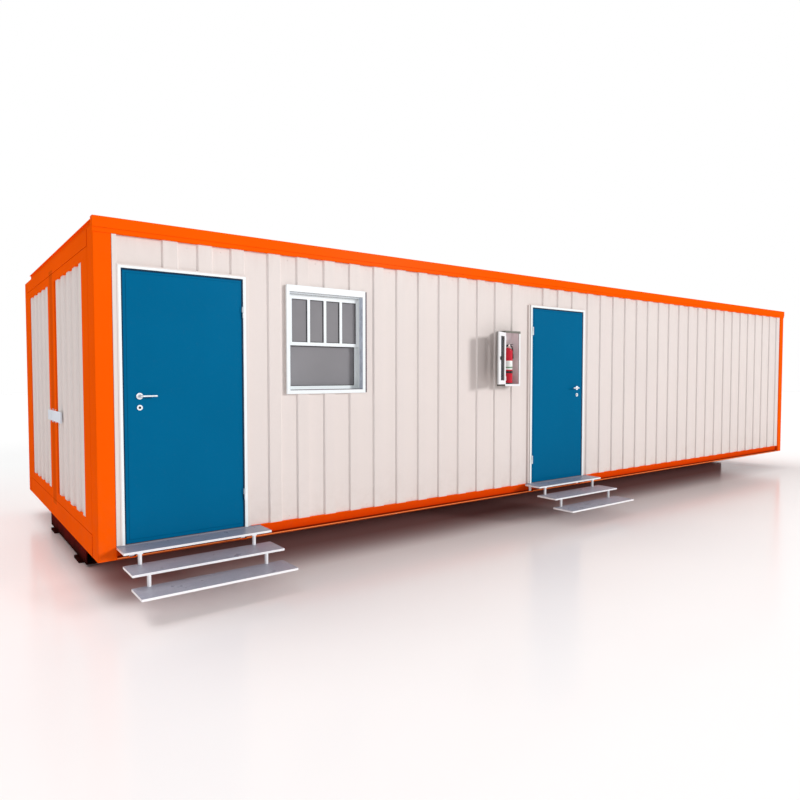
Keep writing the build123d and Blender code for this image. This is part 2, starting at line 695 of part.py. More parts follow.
def window_frame():
    """The casing in front of the wall and the box through it, with parting beads."""
    casing_y = (-WINDOW_PROUD, SHEET_SETBACK)
    x = (WINDOW_LEFT, WINDOW_RIGHT)
    z = (WINDOW_BOTTOM, WINDOW_TOP)
    casing = ring(x, casing_y, z, WINDOW_SIDE, WINDOW_SIDE, WINDOW_CILL, WINDOW_HEAD)
    box_y = (SHEET_SETBACK, WALL_INNER)
    sides = [width - WINDOW_LAP for width in (WINDOW_SIDE, WINDOW_SIDE, WINDOW_CILL, WINDOW_HEAD)]
    lining = ring((CUT_LEFT, CUT_RIGHT), box_y, (CUT_BOTTOM, CUT_TOP), *sides)
    bead_x = (WINDOW_LEFT + WINDOW_SIDE, WINDOW_RIGHT - WINDOW_SIDE)
    bead_y = (UPPER_Y[0] - BEAD_DEPTH - SEAT_GAP, UPPER_Y[0] - SEAT_GAP)
    bead_z = (WINDOW_BOTTOM + WINDOW_CILL, WINDOW_TOP - WINDOW_HEAD)
    bead = ring(bead_x, bead_y, bead_z, BEAD_WIDTH, BEAD_WIDTH, 0, BEAD_WIDTH)
    return casing + lining + bead


def upper_sash():
    """The outer sash, divided by upright glazing bars."""
    sides = (SASH_LEFT_STILE, SASH_RIGHT_STILE, MEETING_RAIL, SASH_TOP_RAIL)
    sash = ring(SASH_X, UPPER_Y, UPPER_Z, *sides)
    clear = GLASS_X
    pitch = (clear[1] - clear[0]) / (MUNTIN_COUNT + 1)
    for n in range(MUNTIN_COUNT):
        centre = clear[0] + pitch * (n + 1)
        bar_x = (centre - MUNTIN_WIDTH / 2, centre + MUNTIN_WIDTH / 2)
        sash += block(bar_x, (UPPER_Y[0], UPPER_Y[0] + GLASS_SETBACK), UPPER_Z)
    return sash


def pane(sash_y, z):
    """One pane, set back from its sash's face."""
    y = (sash_y[0] + GLASS_SETBACK, sash_y[0] + GLASS_SETBACK + GLASS_THICKNESS)
    return block(GLASS_X, y, z)


save("window_frame", window_frame())
save("window_upper_sash", upper_sash())
lower_sides = (SASH_LEFT_STILE, SASH_RIGHT_STILE, SASH_BOTTOM_RAIL, MEETING_RAIL)
save("window_lower_sash", ring(SASH_X, LOWER_Y, LOWER_Z, *lower_sides))
upper_pane = pane(UPPER_Y, (UPPER_Z[0] + MEETING_RAIL, UPPER_Z[1] - SASH_TOP_RAIL))
lower_pane = pane(LOWER_Y, (LOWER_Z[0] + SASH_BOTTOM_RAIL, LOWER_Z[1] - MEETING_RAIL))
save("window_glass", upper_pane, lower_pane)


# Extinguisher cabinet

CABINET_X = (CABINET_LEFT, CABINET_LEFT + CABINET_WIDTH)
CABINET_Y = (SHEET_SETBACK - CABINET_DEPTH, SHEET_SETBACK)
CABINET_Z = (CABINET_BOTTOM, CABINET_BOTTOM + CABINET_HEIGHT)
CABINET_AXIS_Y = CABINET_Y[0] - CABINET_HINGE_RADIUS - 1
CABINET_LEAF_X = (CABINET_X[0] + CABINET_HINGE_RADIUS + 3, CABINET_X[1])
CABINET_LEAF_Y = (CABINET_Y[0] - DOOR_GAP - CABINET_LEAF, CABINET_Y[0] - DOOR_GAP)
CABINET_LEAF_Z = (CABINET_Z[0] + CABINET_FLANGE, CABINET_Z[1] - CABINET_FLANGE)
CABINET_HINGE_LEVELS = (CABINET_Z[0] + CABINET_HINGE_INSET, CABINET_Z[1] - CABINET_HINGE_INSET)


def cabinet_body():
    """A sheet box on the wall with a flange round its mouth, and its hinge halves."""
    sheet = CABINET_SHEET
    inner_x = (CABINET_X[0] + sheet, CABINET_X[1] - sheet)
    inner_z = (CABINET_Z[0] + sheet, CABINET_Z[1] - sheet)
    mouth_x = (CABINET_X[0] + sheet, CABINET_X[1] - CABINET_FLANGE)
    shell = block(CABINET_X, CABINET_Y, CABINET_Z)
    shell -= block(inner_x, (CABINET_Y[0] + sheet, CABINET_Y[1] - sheet), inner_z)
    shell -= block(mouth_x, (CABINET_Y[0] - 1, CABINET_Y[1] - 2 * sheet), CABINET_LEAF_Z)
    for level in CABINET_HINGE_LEVELS:
        z = (level - CABINET_HINGE_LENGTH, level)
        centre = (CABINET_X[0], CABINET_AXIS_Y, z[0])
        barrel = rod(centre, CABINET_HINGE_RADIUS, CABINET_HINGE_LENGTH, (0, 0, 1))
        pin = rod(centre, CABINET_PIN_RADIUS, CABINET_HINGE_LENGTH + CABINET_PIN_OVERRUN, (0, 0, 1))
        root = block((CABINET_X[0], CABINET_X[0] + sheet / 2), (CABINET_AXIS_Y, CABINET_Y[0]), z)
        shell = shell + barrel + pin + root
    return shell


def swung(shape):
    """A piece of the cabinet's door, turned from closed to standing open."""
    return shape.rotate(Axis((CABINET_X[0], CABINET_AXIS_Y, 0), (0, 0, 1)), -CABINET_OPEN)


def cabinet_leaf():
    """A framed door, hung on the cabinet's pins by its left edge."""
    sides = (CABINET_HINGE_STILE, CABINET_FREE_STILE, CABINET_RAIL, CABINET_RAIL)
    leaf = ring(CABINET_LEAF_X, CABINET_LEAF_Y, CABINET_LEAF_Z, *sides)
    for level in CABINET_HINGE_LEVELS:
        start = level + 1
        z = (start, start + CABINET_HINGE_LENGTH)
        centre = (CABINET_X[0], CABINET_AXIS_Y, start)
        arm = block((CABINET_X[0], CABINET_LEAF_X[0]), (CABINET_AXIS_Y - 4, CABINET_AXIS_Y), z)
        barrel = rod(centre, CABINET_HINGE_RADIUS, CABINET_HINGE_LENGTH, (0, 0, 1)) + arm
        depth = CABINET_PIN_OVERRUN + 1 + HINGE_GAP
        bore_start = (centre[0], centre[1], level)
        leaf += barrel - rod(bore_start, CABINET_PIN_RADIUS + HINGE_GAP, depth, (0, 0, 1))
    return swung(leaf)


def cabinet_glass():
    """The pane in the door."""
    middle = (CABINET_LEAF_Y[0] + CABINET_LEAF_Y[1]) / 2
    clear_x = (CABINET_LEAF_X[0] + CABINET_HINGE_STILE, CABINET_LEAF_X[1] - CABINET_FREE_STILE)
    clear_z = (CABINET_LEAF_Z[0] + CABINET_RAIL, CABINET_LEAF_Z[1] - CABINET_RAIL)
    return swung(block(clear_x, (middle - 2, middle + 2), clear_z))


def cabinet_knobs():
    """A round turned knob on each face of the door."""
    shapes = []
    for face, side in ((CABINET_LEAF_Y[0], -1), (CABINET_LEAF_Y[1], 1)):
        spot = (CABINET_LEAF_X[1] - KNOB_INSET, face, (CABINET_Z[0] + CABINET_Z[1]) / 2)
        knob = rod(spot, KNOB_RADIUS, KNOB_LENGTH, (0, side, 0))
        outer = knob.edges().filter_by(GeomType.CIRCLE).sort_by(Axis.Y)[-1 if side > 0 else 0]
        shapes.append(swung(chamfer(outer, KNOB_LENGTH * 0.3)))
    return shapes


def extinguisher():
    """The bottle, a turned body with a domed shoulder and a neck."""
    radius = EXTINGUISHER_RADIUS
    height = EXTINGUISHER_HEIGHT
    neck = EXTINGUISHER_NECK
    shoulder = height - radius * 0.6
    with BuildSketch(Plane.XZ) as outline:
        with BuildLine():
            Line((0, 0), (radius - 6, 0))
            Line((radius - 6, 0), (radius, 6))
            Line((radius, 6), (radius, shoulder))
            ThreePointArc((radius, shoulder), (radius * 0.78, shoulder + radius * 0.42), (neck, height))
            Line((neck, height), (neck, height + 14))
            Line((neck, height + 14), (0, height + 14))
            Line((0, height + 14), (0, 0))
        make_face()
    body = revolve(outline.sketch, Axis.Z)
    return Pos(*BOTTLE) * body


BOTTLE = (
    CABINET_X[0] + CABINET_SHEET + EXTINGUISHER_SIDE_GAP + EXTINGUISHER_RADIUS,
    (CABINET_Y[0] + CABINET_Y[1]) / 2,
    CABINET_Z[0] + CABINET_SHEET,
)


def extinguisher_head():
    """The valve, its two grips and a short hose along the bottle."""
    x, y, z = BOTTLE
    top = z + EXTINGUISHER_HEIGHT + 14
    valve = rod((x, y, top), EXTINGUISHER_NECK - 3, 30, (0, 0, 1))
    back = x - EXTINGUISHER_NECK - 4
    tip = x + EXTINGUISHER_GRIP
    grip = [(back, top + 18), (tip, top + 34), (tip, top + 40), (back, top + 28)]
    handle = [(back, top + 8), (tip - 8, top + 8), (tip - 8, top + 13), (back, top + 14)]
    return valve + along_y(grip, (y - 9, y + 9)) + along_y(handle, (y - 9, y + 9))


save("cabinet_body", cabinet_body())
save("cabinet_door", cabinet_leaf())
save("cabinet_door_glass", cabinet_glass())
save("cabinet_door_knobs", *cabinet_knobs())
save("extinguisher_bottle", extinguisher())
save("extinguisher_head", extinguisher_head())


# End doors



def near_end_frame():
    """The near leaf's welded frame, its hinge edge rounded about its pivot pins."""
    frame = block((0, END_LEAF_THICKNESS), NEAR_LEAF_Y, END_LEAF_Z)
    hinge_edge = frame.edges().filter_by(Axis.Z).sort_by(Axis.Y)[0:2].sort_by(Axis.X)[0]
    frame = fillet(hinge_edge, END_PIVOT_INSET)
    clear_y = (NEAR_LEAF_Y[0] + END_HINGE_STILE, NEAR_LEAF_Y[1] - END_MEETING_STILE)
    clear_z = (END_LEAF_Z[0] + END_BOTTOM_RAIL, END_LEAF_Z[1] - END_TOP_RAIL)
    frame -= block((-1, END_LEAF_THICKNESS + 1), clear_y, clear_z)
    return frame + end_pivots(END_PIVOT_RADIUS, END_GAP + END_PIVOT_REACH)


def near_end_sheet():
    """The ribbed sheet inside the near leaf's frame."""
    span = NEAR_LEAF_Y[1] - END_MEETING_STILE - NEAR_LEAF_Y[0] - END_HINGE_STILE
    z = (END_LEAF_Z[0] + END_BOTTOM_RAIL, END_LEAF_Z[1] - END_TOP_RAIL)
    slab = ribbed_slab(span, END_RIB_START, END_SHEET_THICKNESS, z)
    start = NEAR_LEAF_Y[1] - END_MEETING_STILE
    return Pos(END_SHEET_SETBACK, start, 0) * Rot(0, 0, -90) * slab


def lock_plate(width):
    """A lock plate on the near leaf, ending at the leaves' meeting edges."""
    y = (NEAR_LEAF_Y[1] - width, NEAR_LEAF_Y[1])
    z = (END_LEAF_Z[0] + LOCK_PLATE_RISE, END_LEAF_Z[0] + LOCK_PLATE_RISE + LOCK_PLATE_HEIGHT)
    plate = block((-LOCK_PLATE_DEPTH, 0), y, z)
    return chamfer(plate.edges().filter_by(Axis.Y).group_by(Axis.X)[0], LOCK_PLATE_DEPTH * 0.3)


save("end_door_near_frame", near_end_frame())
save("end_door_near_sheet", near_end_sheet())
save("end_door_near_lock_plate", lock_plate(LOCK_NEAR_WIDTH))
save("end_door_far_frame", mirrored_in_width(near_end_frame()))
save("end_door_far_sheet", mirrored_in_width(near_end_sheet()))
save("end_door_far_lock_plate", mirrored_in_width(lock_plate(LOCK_FAR_WIDTH)))


# Steps

def tread_y(number):
    """A tread's front and back edge; the top one stops at the cabin's face."""
    front = -TREAD_FRONT - number * TREAD_GOING
    return (front, min(front + TREAD_DEPTH, 0))


def tread(centre, number):
    """One tread, a steel tray turned down on all four sides."""
    x = (centre - TREAD_WIDTH / 2, centre + TREAD_WIDTH / 2)
    y = tread_y(number)
    top = RAIL_TOP - TREAD_DROP - number * TREAD_RISE
    z = (top - TREAD_THICKNESS, top)
    gauge = TREAD_GAUGE
    hollow = block((x[0] + gauge, x[1] - gauge), (y[0] + gauge, y[1] - gauge), (z[0] - 1, z[1] - gauge))
    return block(x, y, z) - hollow


def step_posts(centre):
    """Round posts that hang each tread from the one above, and hangers on the rail's web."""
    shapes = []
    radius = STEP_POST / 2
    for side in (-1, 1):
        spot = centre + STEP_POST_SHIFT + side * STEP_POST_SPREAD / 2
        for number in range(TREAD_COUNT - 1):
            upper = RAIL_TOP - TREAD_DROP - number * TREAD_RISE
            middle = tread_y(number + 1)[1] - radius
            foot_spot = (spot, middle, upper - TREAD_RISE)
            post_shape = rod(foot_spot, radius, TREAD_RISE - TREAD_GAUGE, (0, 0, 1))
            if number == 0:
                bar_x = (spot - HANGER_WIDTH / 2, spot + HANGER_WIDTH / 2)
                under = upper - TREAD_THICKNESS
                bar_y = (middle - radius, RAIL_LIP)
                bar = block(bar_x, bar_y, (under - HANGER_GAUGE, under))
                foot_z = (BASE + RAIL_GAUGE, under - HANGER_GAUGE)
                foot = block(bar_x, (RAIL_LIP - HANGER_GAUGE, RAIL_LIP), foot_z)
                post_shape = post_shape + bar + foot
            shapes.append(post_shape)
    return shapes


for name, left, shift in (("steps_1", DOOR_1_LEFT, STEPS_1_SHIFT), ("steps_2", DOOR_2_LEFT, STEPS_2_SHIFT)):
    centre = left + DOOR_WIDTH / 2 + shift
    save(name + "_treads", *[tread(centre, number) for number in range(TREAD_COUNT)])
    save(name + "_posts", *step_posts(centre))
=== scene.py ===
import json
import math

import bmesh
import bpy
from mathutils import Matrix, Vector

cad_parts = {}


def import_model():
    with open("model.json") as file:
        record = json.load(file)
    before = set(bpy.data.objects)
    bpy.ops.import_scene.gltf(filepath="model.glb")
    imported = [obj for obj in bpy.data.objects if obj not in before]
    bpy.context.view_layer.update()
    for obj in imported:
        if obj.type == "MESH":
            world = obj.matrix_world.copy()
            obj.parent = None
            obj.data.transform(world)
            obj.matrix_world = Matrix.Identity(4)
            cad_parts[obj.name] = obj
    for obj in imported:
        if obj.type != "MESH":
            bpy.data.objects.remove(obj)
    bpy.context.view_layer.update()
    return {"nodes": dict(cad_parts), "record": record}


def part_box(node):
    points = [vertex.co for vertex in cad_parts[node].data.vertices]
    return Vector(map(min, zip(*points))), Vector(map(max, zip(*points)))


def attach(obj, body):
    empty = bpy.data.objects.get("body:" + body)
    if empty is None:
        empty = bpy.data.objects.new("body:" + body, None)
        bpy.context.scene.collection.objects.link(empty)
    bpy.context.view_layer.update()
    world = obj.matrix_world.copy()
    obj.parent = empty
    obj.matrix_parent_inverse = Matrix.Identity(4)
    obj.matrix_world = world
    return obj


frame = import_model()

# Cabin coordinates are in millimetres from the front left post's corner on the
# ground: X along the length, Y to the back, Z up.
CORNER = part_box("post_front_left")[0]
ORIGIN = Vector((-CORNER.x, -CORNER.y, 0.0))


def at(x, y, z):
    """A point in cabin coordinates, in metres in the shared frame."""
    return Vector((x, y, z)) / 1000 - ORIGIN


def span(node, axis):
    """A node's lowest and highest cabin coordinate along one axis, to a tenth."""
    index = "XYZ".index(axis)
    return tuple(round((corner[index] + ORIGIN[index]) * 1000, 1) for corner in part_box(node))


def middle(node, axis):
    """A node's middle along one axis, as a cabin coordinate."""
    return sum(span(node, axis)) / 2


# Frame, walls and floor
POST_FACE = span("post_front_left", "X")[1]
POST_SIDE = span("post_front_left", "Y")[1]
LENGTH = span("post_front_right", "X")[1]
WIDTH = span("post_back_left", "Y")[1]
BASE, FRAME_TOP = span("post_front_left", "Z")
RAIL_TOP = span("bottom_rail_front", "Z")[1]
FASCIA_BOTTOM = span("top_rail_front", "Z")[0]
END_SILL_TOP = span("end_sill_left", "Z")[1]
END_HEADER_FOOT = span("end_header_left", "Z")[0]
WALL_CREST, WALL_INNER = span("front_wall_long_bay", "Y")
RIB_DEPTH = 18
WALL_VALLEY = WALL_CREST + RIB_DEPTH
BOARD_FOOT = span("floor_deck", "Z")[0] + 3

# The depth that a filler behind a frame needs to close the sheet's folds
SHEET_DEPTH = (WALL_CREST - 1, WALL_VALLEY + 1)

# Directions
UP = (0, 0, 1)
FORWARD = (0, -1, 0)

# Front doors: each one's left and right edges
DOORS = {name: span(name + "_frame", "X") for name in ("door_1", "door_2")}
DOOR_TOP = span("door_1_frame", "Z")[1]
LEAF_INSET = 35.5
LEAF_THICKNESS = 45
LOCK_RADIUS = 22
# How far the wall's colour comes over each frame's left, right and top edge
FLASHING = {"door_1": (11, 5, 11), "door_2": (2, -1, 8)}

# Wall sheets: the front bays' edges and first ribs, and how far screws are from an end
RIB_PITCH = 290
RIB_WIDTH = 135
BAY_EDGES = (*DOORS["door_1"], *DOORS["door_2"], LENGTH - POST_FACE)
BAY_RIBS = (352, 211, 236, 75)
BACK_RIB = 98
END_RIB = 60
SCREW_INSET = 38
CORNER_STRIP = POST_FACE + 35

# Window: the frame, the opening inside it, and the panes
WINDOW = span("window_frame", "X")
WINDOW_Z = span("window_frame", "Z")
WINDOW_SIDE = 30
WINDOW_SILL = 34
WINDOW_HEAD = 64
OPENING = (WINDOW[0] + WINDOW_SIDE, WINDOW[1] - WINDOW_SIDE)
OPENING_Z = (WINDOW_Z[0] + WINDOW_SILL, WINDOW_Z[1] - WINDOW_HEAD)
PANES = span("window_glass", "X")
UPPER_PANE_Z = (span("window_lower_sash", "Z")[1], span("window_glass", "Z")[1])
LOWER_PANE_Z = (span("window_glass", "Z")[0], span("window_upper_sash", "Z")[0])
PANE_GAUGE = 6
UPPER_PANE_Y = span("window_glass", "Y")[0]
LOWER_PANE_Y = span("window_glass", "Y")[1] - PANE_GAUGE
MUNTIN_HALF = 14

# Steps and the hangers under them
STEPS = ("steps_1", "steps_2")
TREAD_TOP = span("steps_1_treads", "Z")[1]
HANGER_WIDTH = 40
HANGER_ROOM = 4

# Extinguisher cabinet: its shell, and its door as drawn closed
KNUCKLE = 6
CABINET_HINGE = (span("cabinet_body", "X")[0] + KNUCKLE, span("cabinet_body", "Y")[0] + KNUCKLE)
CABINET_SWING = 154
CABINET = (CABINET_HINGE[0], span("cabinet_body", "X")[1])
CABINET_Y = (CABINET_HINGE[1] + KNUCKLE + 1, span("cabinet_body", "Y")[1])
CABINET_Z = span("cabinet_body", "Z")
CABINET_DOOR_TOP = span("cabinet_door", "Z")[1]
HINGE_STILE = 63
FREE_STILE = 76
CABINET_PANE = (CABINET[0] + HINGE_STILE, CABINET[1] - FREE_STILE)
CABINET_PANE_Z = span("cabinet_door_glass", "Z")
KNOB = (CABINET[1] - 48, CABINET_HINGE[1] + 2, middle("cabinet_door_knobs", "Z"))

# Extinguisher
BOTTLE = (middle("extinguisher_bottle", "X"), middle("extinguisher_bottle", "Y"), 0)
BOTTLE_RADIUS = span("extinguisher_bottle", "X")[1] - BOTTLE[0]
BOTTLE_FOOT, BOTTLE_TOP = span("extinguisher_bottle", "Z")
STRAP_Z = (BOTTLE_FOOT + 146, BOTTLE_FOOT + 170)
LABEL_Z = (BOTTLE_FOOT + 187, BOTTLE_FOOT + 293)
LABEL_BAND_Z = (LABEL_Z[0] + 18, LABEL_Z[0] + 34)
VALVE = (BOTTLE[0], -60, BOTTLE_TOP + 21)
GAUGE = (BOTTLE[0], -74, BOTTLE_TOP + 17)

# End doors: bolts in from the meeting edges and past the lock plates, and the band of painted shade
# on the meeting stiles
STILE_BOLTS = {"end_door_near": (-162, -30), "end_door_far": (28, 172)}
BOLT_OFFSET = 10
MEETING_EDGES = (span("end_door_near_frame", "Y")[1], span("end_door_far_frame", "Y")[0])
MEETING_SHADE_BAND = (MEETING_EDGES[0] - 97, MEETING_EDGES[1] + 102)
MEETING_SHADE_BAND_Z = (END_SILL_TOP - 38, END_HEADER_FOOT + 37)

# Sizes of screw and bolt heads
SCREW = 5.0
STILE_BOLT = 6.0
SKID_BOLT = 9.0


def rgb(red, green, blue):
    """A display colour as the linear values that shaders take."""
    out = []
    for value in (red, green, blue):
        c = value / 255
        out.append(c / 12.92 if c <= 0.04045 else ((c + 0.055) / 1.055) ** 2.4)
    return (*out, 1.0)


# Shader building

class Graph:
    """A material's node tree, with one call for each node."""

    def __init__(self, name):
        self.material = bpy.data.materials.new(name)
        self.material.use_nodes = True
        self.tree = self.material.node_tree
        self.tree.nodes.clear()
        coords = self.node("TexCoord")
        self.place = coords.outputs["Object"]
        self.facing = self.node("SeparateXYZ", Vector=coords.outputs["Normal"])
        self.spot = self.node("SeparateXYZ", Vector=self.place)

    def node(self, kind, props=None, **inputs):
        """A node of one kind; inputs go by name, or by number as i0, i1 and so on."""
        made = self.tree.nodes.new("ShaderNode" + kind)
        for key, value in (props or {}).items():
            setattr(made, key, value)
        for key, value in inputs.items():
            numbered = key[0] == "i" and key[1:].isdigit()
            socket = made.inputs[int(key[1:]) if numbered else key.replace("_", " ")]
            if isinstance(value, bpy.types.NodeSocket):
                self.tree.links.new(value, socket)
            else:
                socket.default_value = value
        return made

    def math(self, operation, a, b=0.0):
        """One step of arithmetic."""
        return self.node("Math", {"operation": operation}, i0=a, i1=b).outputs[0]

    def times(self, *values):
        """All values multiplied."""
        out = values[0]
        for value in values[1:]:
            out = self.math("MULTIPLY", out, value)
        return out

    def noise(self, scale, detail=3.0, rough=0.5, vector=None):
        """Noise at the rest position, so that it stays with the piece when it moves."""
        place = vector or self.place
        made = self.node("TexNoise", Vector=place, Scale=scale, Detail=detail, Roughness=rough)
        return made.outputs["Fac"]

    def stretched(self, x, y, z):
        """The rest position scaled along each axis, for a noise with a direction."""
        made = self.node("Mapping", Vector=self.place)
        made.inputs["Scale"].default_value = (x, y, z)
        return made.outputs["Vector"]

    def remap(self, value, low, high, to_low=0.0, to_high=1.0):
        """A value between two limits as one between two others, held at both ends."""
        made = self.node("MapRange", Value=value)
        ends = {"From Min": low, "From Max": high, "To Min": to_low, "To Max": to_high}
        for name, number in ends.items():
            made.inputs[name].default_value = number
        return made.outputs["Result"]

    def mix(self, factor, a, b):
        """A colour that goes from a at a factor of nought to b at one."""
        made = self.tree.nodes.new("ShaderNodeMix")
        made.data_type = "RGBA"
        for index, value in ((0, factor), (6, a), (7, b)):
            if isinstance(value, bpy.types.NodeSocket):
                self.tree.links.new(value, made.inputs[index])
            else:
                made.inputs[index].default_value = value
        return made.outputs[2]

    def bump(self, height, strength, distance, normal=None):
        """A surface normal tilted by a height, over another normal if one is given."""
        made = self.node("Bump", Height=height, Strength=strength, Distance=distance)
        if normal is not None:
            self.tree.links.new(normal, made.inputs["Normal"])
        return made.outputs["Normal"]

    def finish(self, shader):
        """Connect the last shader and give the material back."""
        out = self.tree.nodes.new("ShaderNodeOutputMaterial")
        self.tree.links.new(shader, out.inputs["Surface"])
        return self.material

    def axis(self, name):
        """The rest position along one axis, in metres in the shared frame."""
        return self.spot.outputs[name]

    def above(self, axis, limit):
        """One where the rest position is past a cabin coordinate, else nought."""
        offset = ORIGIN["XYZ".index(axis)]
        return self.math("GREATER_THAN", self.axis(axis), limit / 1000 - offset)

    def below(self, axis, limit):
        """One where the rest position isn't past a cabin coordinate, else nought."""
        return self.math("SUBTRACT", 1.0, self.above(axis, limit))

    def within(self, x, y, z):
        """One inside a box in cabin coordinates."""
        factors = []
        for axis, ends in (("X", x), ("Y", y), ("Z", z)):
            if ends:
                factors += [self.above(axis, ends[0]), self.below(axis, ends[1])]
        return self.times(*factors)


def shade(colour, factor):
    """A colour made lighter or darker."""
    return tuple(min(1.0, c * factor) for c in colour[:3]) + (1.0,)


def painted(g, colour, drift, speck):
    """Paint tone with a slow drift, faint runs and fine specks."""
    patches = g.remap(g.noise(0.9), 0.3, 0.7)
    tone = g.mix(patches, shade(colour, 1 - 2 * drift), shade(colour, 1 + drift))
    runs = g.noise(7.0, 4.0, 0.6, g.stretched(1.0, 1.0, 0.08))
    tone = g.mix(g.remap(runs, 0.35, 0.75, 0.0, drift * 2), tone, shade(colour, 0.7))
    specks = g.remap(g.noise(46.0, 4.0, 0.65), 0.55, 0.8, 0.0, speck)
    return g.mix(specks, tone, rgb(120, 104, 92))


def dusty(g, tone, amount, top=1100, dust=rgb(150, 126, 108)):
    """Dust that thins out with height."""
    height = g.remap(g.axis("Z"), BASE / 1000, top / 1000, 1.0, 0.0)
    speckle = g.remap(g.noise(9.0, 6.0, 0.7), 0.42, 0.72)
    return g.mix(g.times(height, speckle, amount), tone, dust)


def edge_wear(g, tone, bare, radius, amount):
    """Chips and rubbed paint along sharp edges."""
    rounded = g.node("Bevel", {"samples": 4}, Radius=radius).outputs["Normal"]
    plain = g.node("NewGeometry").outputs["Normal"]
    dot = g.node("VectorMath", {"operation": "DOT_PRODUCT"}, i0=rounded, i1=plain).outputs["Value"]
    edge = g.remap(dot, 0.985, 0.86)
    chips = g.remap(g.noise(34.0, 6.0, 0.72), 0.5, 0.62)
    return g.mix(g.times(edge, chips, amount), tone, bare)


def lacquer(g, tone, rough, gloss_low, grain, coat):
    """A matt paint under a thin clear coat, with orange peel and slow waves in the sheet."""
    gloss = g.remap(g.noise(5.0, 5.0, 0.65), 0.3, 0.7, gloss_low, rough)
    peel = g.bump(g.noise(420.0, 2.0), grain * 0.12, 0.0006)
    waves = g.bump(g.noise(3.0, 2.0), grain * 0.25, 0.004, peel)
    shader = g.node("BsdfPrincipled", Base_Color=tone, Roughness=gloss, Normal=waves)
    shader.inputs["Specular IOR Level"].default_value = 0.0
    shader.inputs["Coat Weight"].default_value = coat
    shader.inputs["Coat Roughness"].default_value = rough * 0.45
    return g.finish(shader.outputs[0])


def orange_frame(name):
    """The frame's orange, with painted shade inside the open channel of the bottom rail, darkest in
    its lower corner.

    The rail's edge is grey under the doors, the end doors' meeting stiles are painted darker as
    shade, and a dark seam marks the joints with the back posts.
    """
    g = Graph(name)
    tone = dusty(g, painted(g, ORANGE, 0.03, 0.03), 0.06)
    rail = (POST_FACE, LENGTH - POST_FACE)
    # Painted shade: the channel's web is darkened, more towards its foot, as if the top flange
    # shades it.
    web_shade = g.within(rail, (4, 60), (BASE - 1, RAIL_TOP - 4))
    deeper = g.remap(g.axis("Z"), (RAIL_TOP - 11) / 1000, (BASE + 12) / 1000, 0.35, 0.8)
    tone = g.mix(g.times(web_shade, deeper), tone, rgb(196, 40, 2))
    # Painted shade: a darker band along the channel's lower corner.
    corner = g.within(rail, (10, 60), (BASE - 1, BASE + 24))
    tone = g.mix(g.times(corner, 0.75), tone, rgb(90, 20, 6))
    for left, right in DOORS.values():
        sill = g.within((left - 34, right + 40), (-3, 60), (RAIL_TOP - 7, RAIL_TOP + 2))
        tone = g.mix(g.times(sill, 0.85), tone, rgb(150, 142, 152))
    # Painted shade: the end doors' meeting stiles are darkened.
    meeting = g.within((-3, 62), MEETING_SHADE_BAND, MEETING_SHADE_BAND_Z)
    tone = g.mix(g.times(meeting, 0.3), tone, rgb(150, 62, 14))
    back = g.above("Y", WIDTH - 60)
    for x in (POST_FACE, LENGTH - POST_FACE):
        seam = g.times(back, g.within((x - 3, x + 3), None, None))
        tone = g.mix(g.times(seam, 0.6), tone, rgb(120, 34, 4))
    tone = edge_wear(g, tone, shade(ORANGE, 0.45), 0.004, 0.7)
    return lacquer(g, tone, 0.45, 0.3, 0.3, 0.006)


def paint(name, colour, rough, grain, drift, speck, dirt, coat=0.08):
    """Sprayed paint: roughness, orange peel, drift of tone, specks and dirt."""
    g = Graph(name)
    tone = dusty(g, painted(g, colour, drift, speck), dirt)
    return lacquer(g, tone, rough, rough - 0.15, grain, coat)


def wall_sheet(name):
    """Coated wall sheet with painted light paling the ribs' slopes, and white boards where it faces
    the room.
    """
    g = Graph(name)
    tone = painted(g, WALL, 0.012, 0.03)
    # Painted light: the ribs' slopes are paled to soften their shade.
    slope_painted_light = g.math("ABSOLUTE", g.times(g.facing.outputs["X"], g.facing.outputs["Y"]))
    tone = g.mix(g.remap(slope_painted_light, 0.1, 0.35, 0.0, 0.55), tone, rgb(255, 250, 248))
    tone = dusty(g, tone, 0.16, 900, rgb(176, 150, 132))
    eaves = g.remap(g.axis("Z"), (FASCIA_BOTTOM - 241) / 1000, (FASCIA_BOTTOM - 1) / 1000, 0.0, 0.1)
    streaks = g.remap(g.noise(14.0, 4.0, 0.6, g.stretched(1.0, 1.0, 0.1)), 0.4, 0.7)
    tone = g.mix(g.times(eaves, streaks), tone, rgb(150, 120, 104))
    x = (POST_FACE - 0.5, LENGTH - POST_FACE - 0.5)
    inside = g.within(x, (WALL_INNER - 1, WIDTH - WALL_INNER + 1), None)
    board_length = 1.2
    boards_along = g.times(g.math("ADD", g.axis("X"), g.axis("Y")), 1 / board_length)
    joint = g.math("LESS_THAN", g.math("FRACT", boards_along), 0.006)
    board = g.mix(g.remap(g.noise(3.0, 5.0), 0.3, 0.7), rgb(226, 224, 219), rgb(236, 234, 230))
    board = g.mix(joint, board, rgb(168, 164, 158))
    tone = g.mix(inside, tone, board)
    return lacquer(g, tone, 0.55, 0.42, 0.3, 0.06)


def door_frame_paint(name):
    """White round the leaf; the outer edge of the face takes the wall's colour."""
    g = Graph(name)
    white = painted(g, TRIM, 0.012, 0.02)
    bare = g.above("Y", SHEET_DEPTH[1])
    for door, (left, right) in DOORS.items():
        on_left, on_right, on_top = FLASHING[door]
        z = (RAIL_TOP - 1, DOOR_TOP - on_top)
        face = g.within((left + on_left, right - on_right), None, z)
        bare = g.math("MAXIMUM", bare, face)
    tone = g.mix(bare, painted(g, WALL, 0.012, 0.03), white)
    return lacquer(g, tone, 0.4, 0.25, 0.2, 0.08)


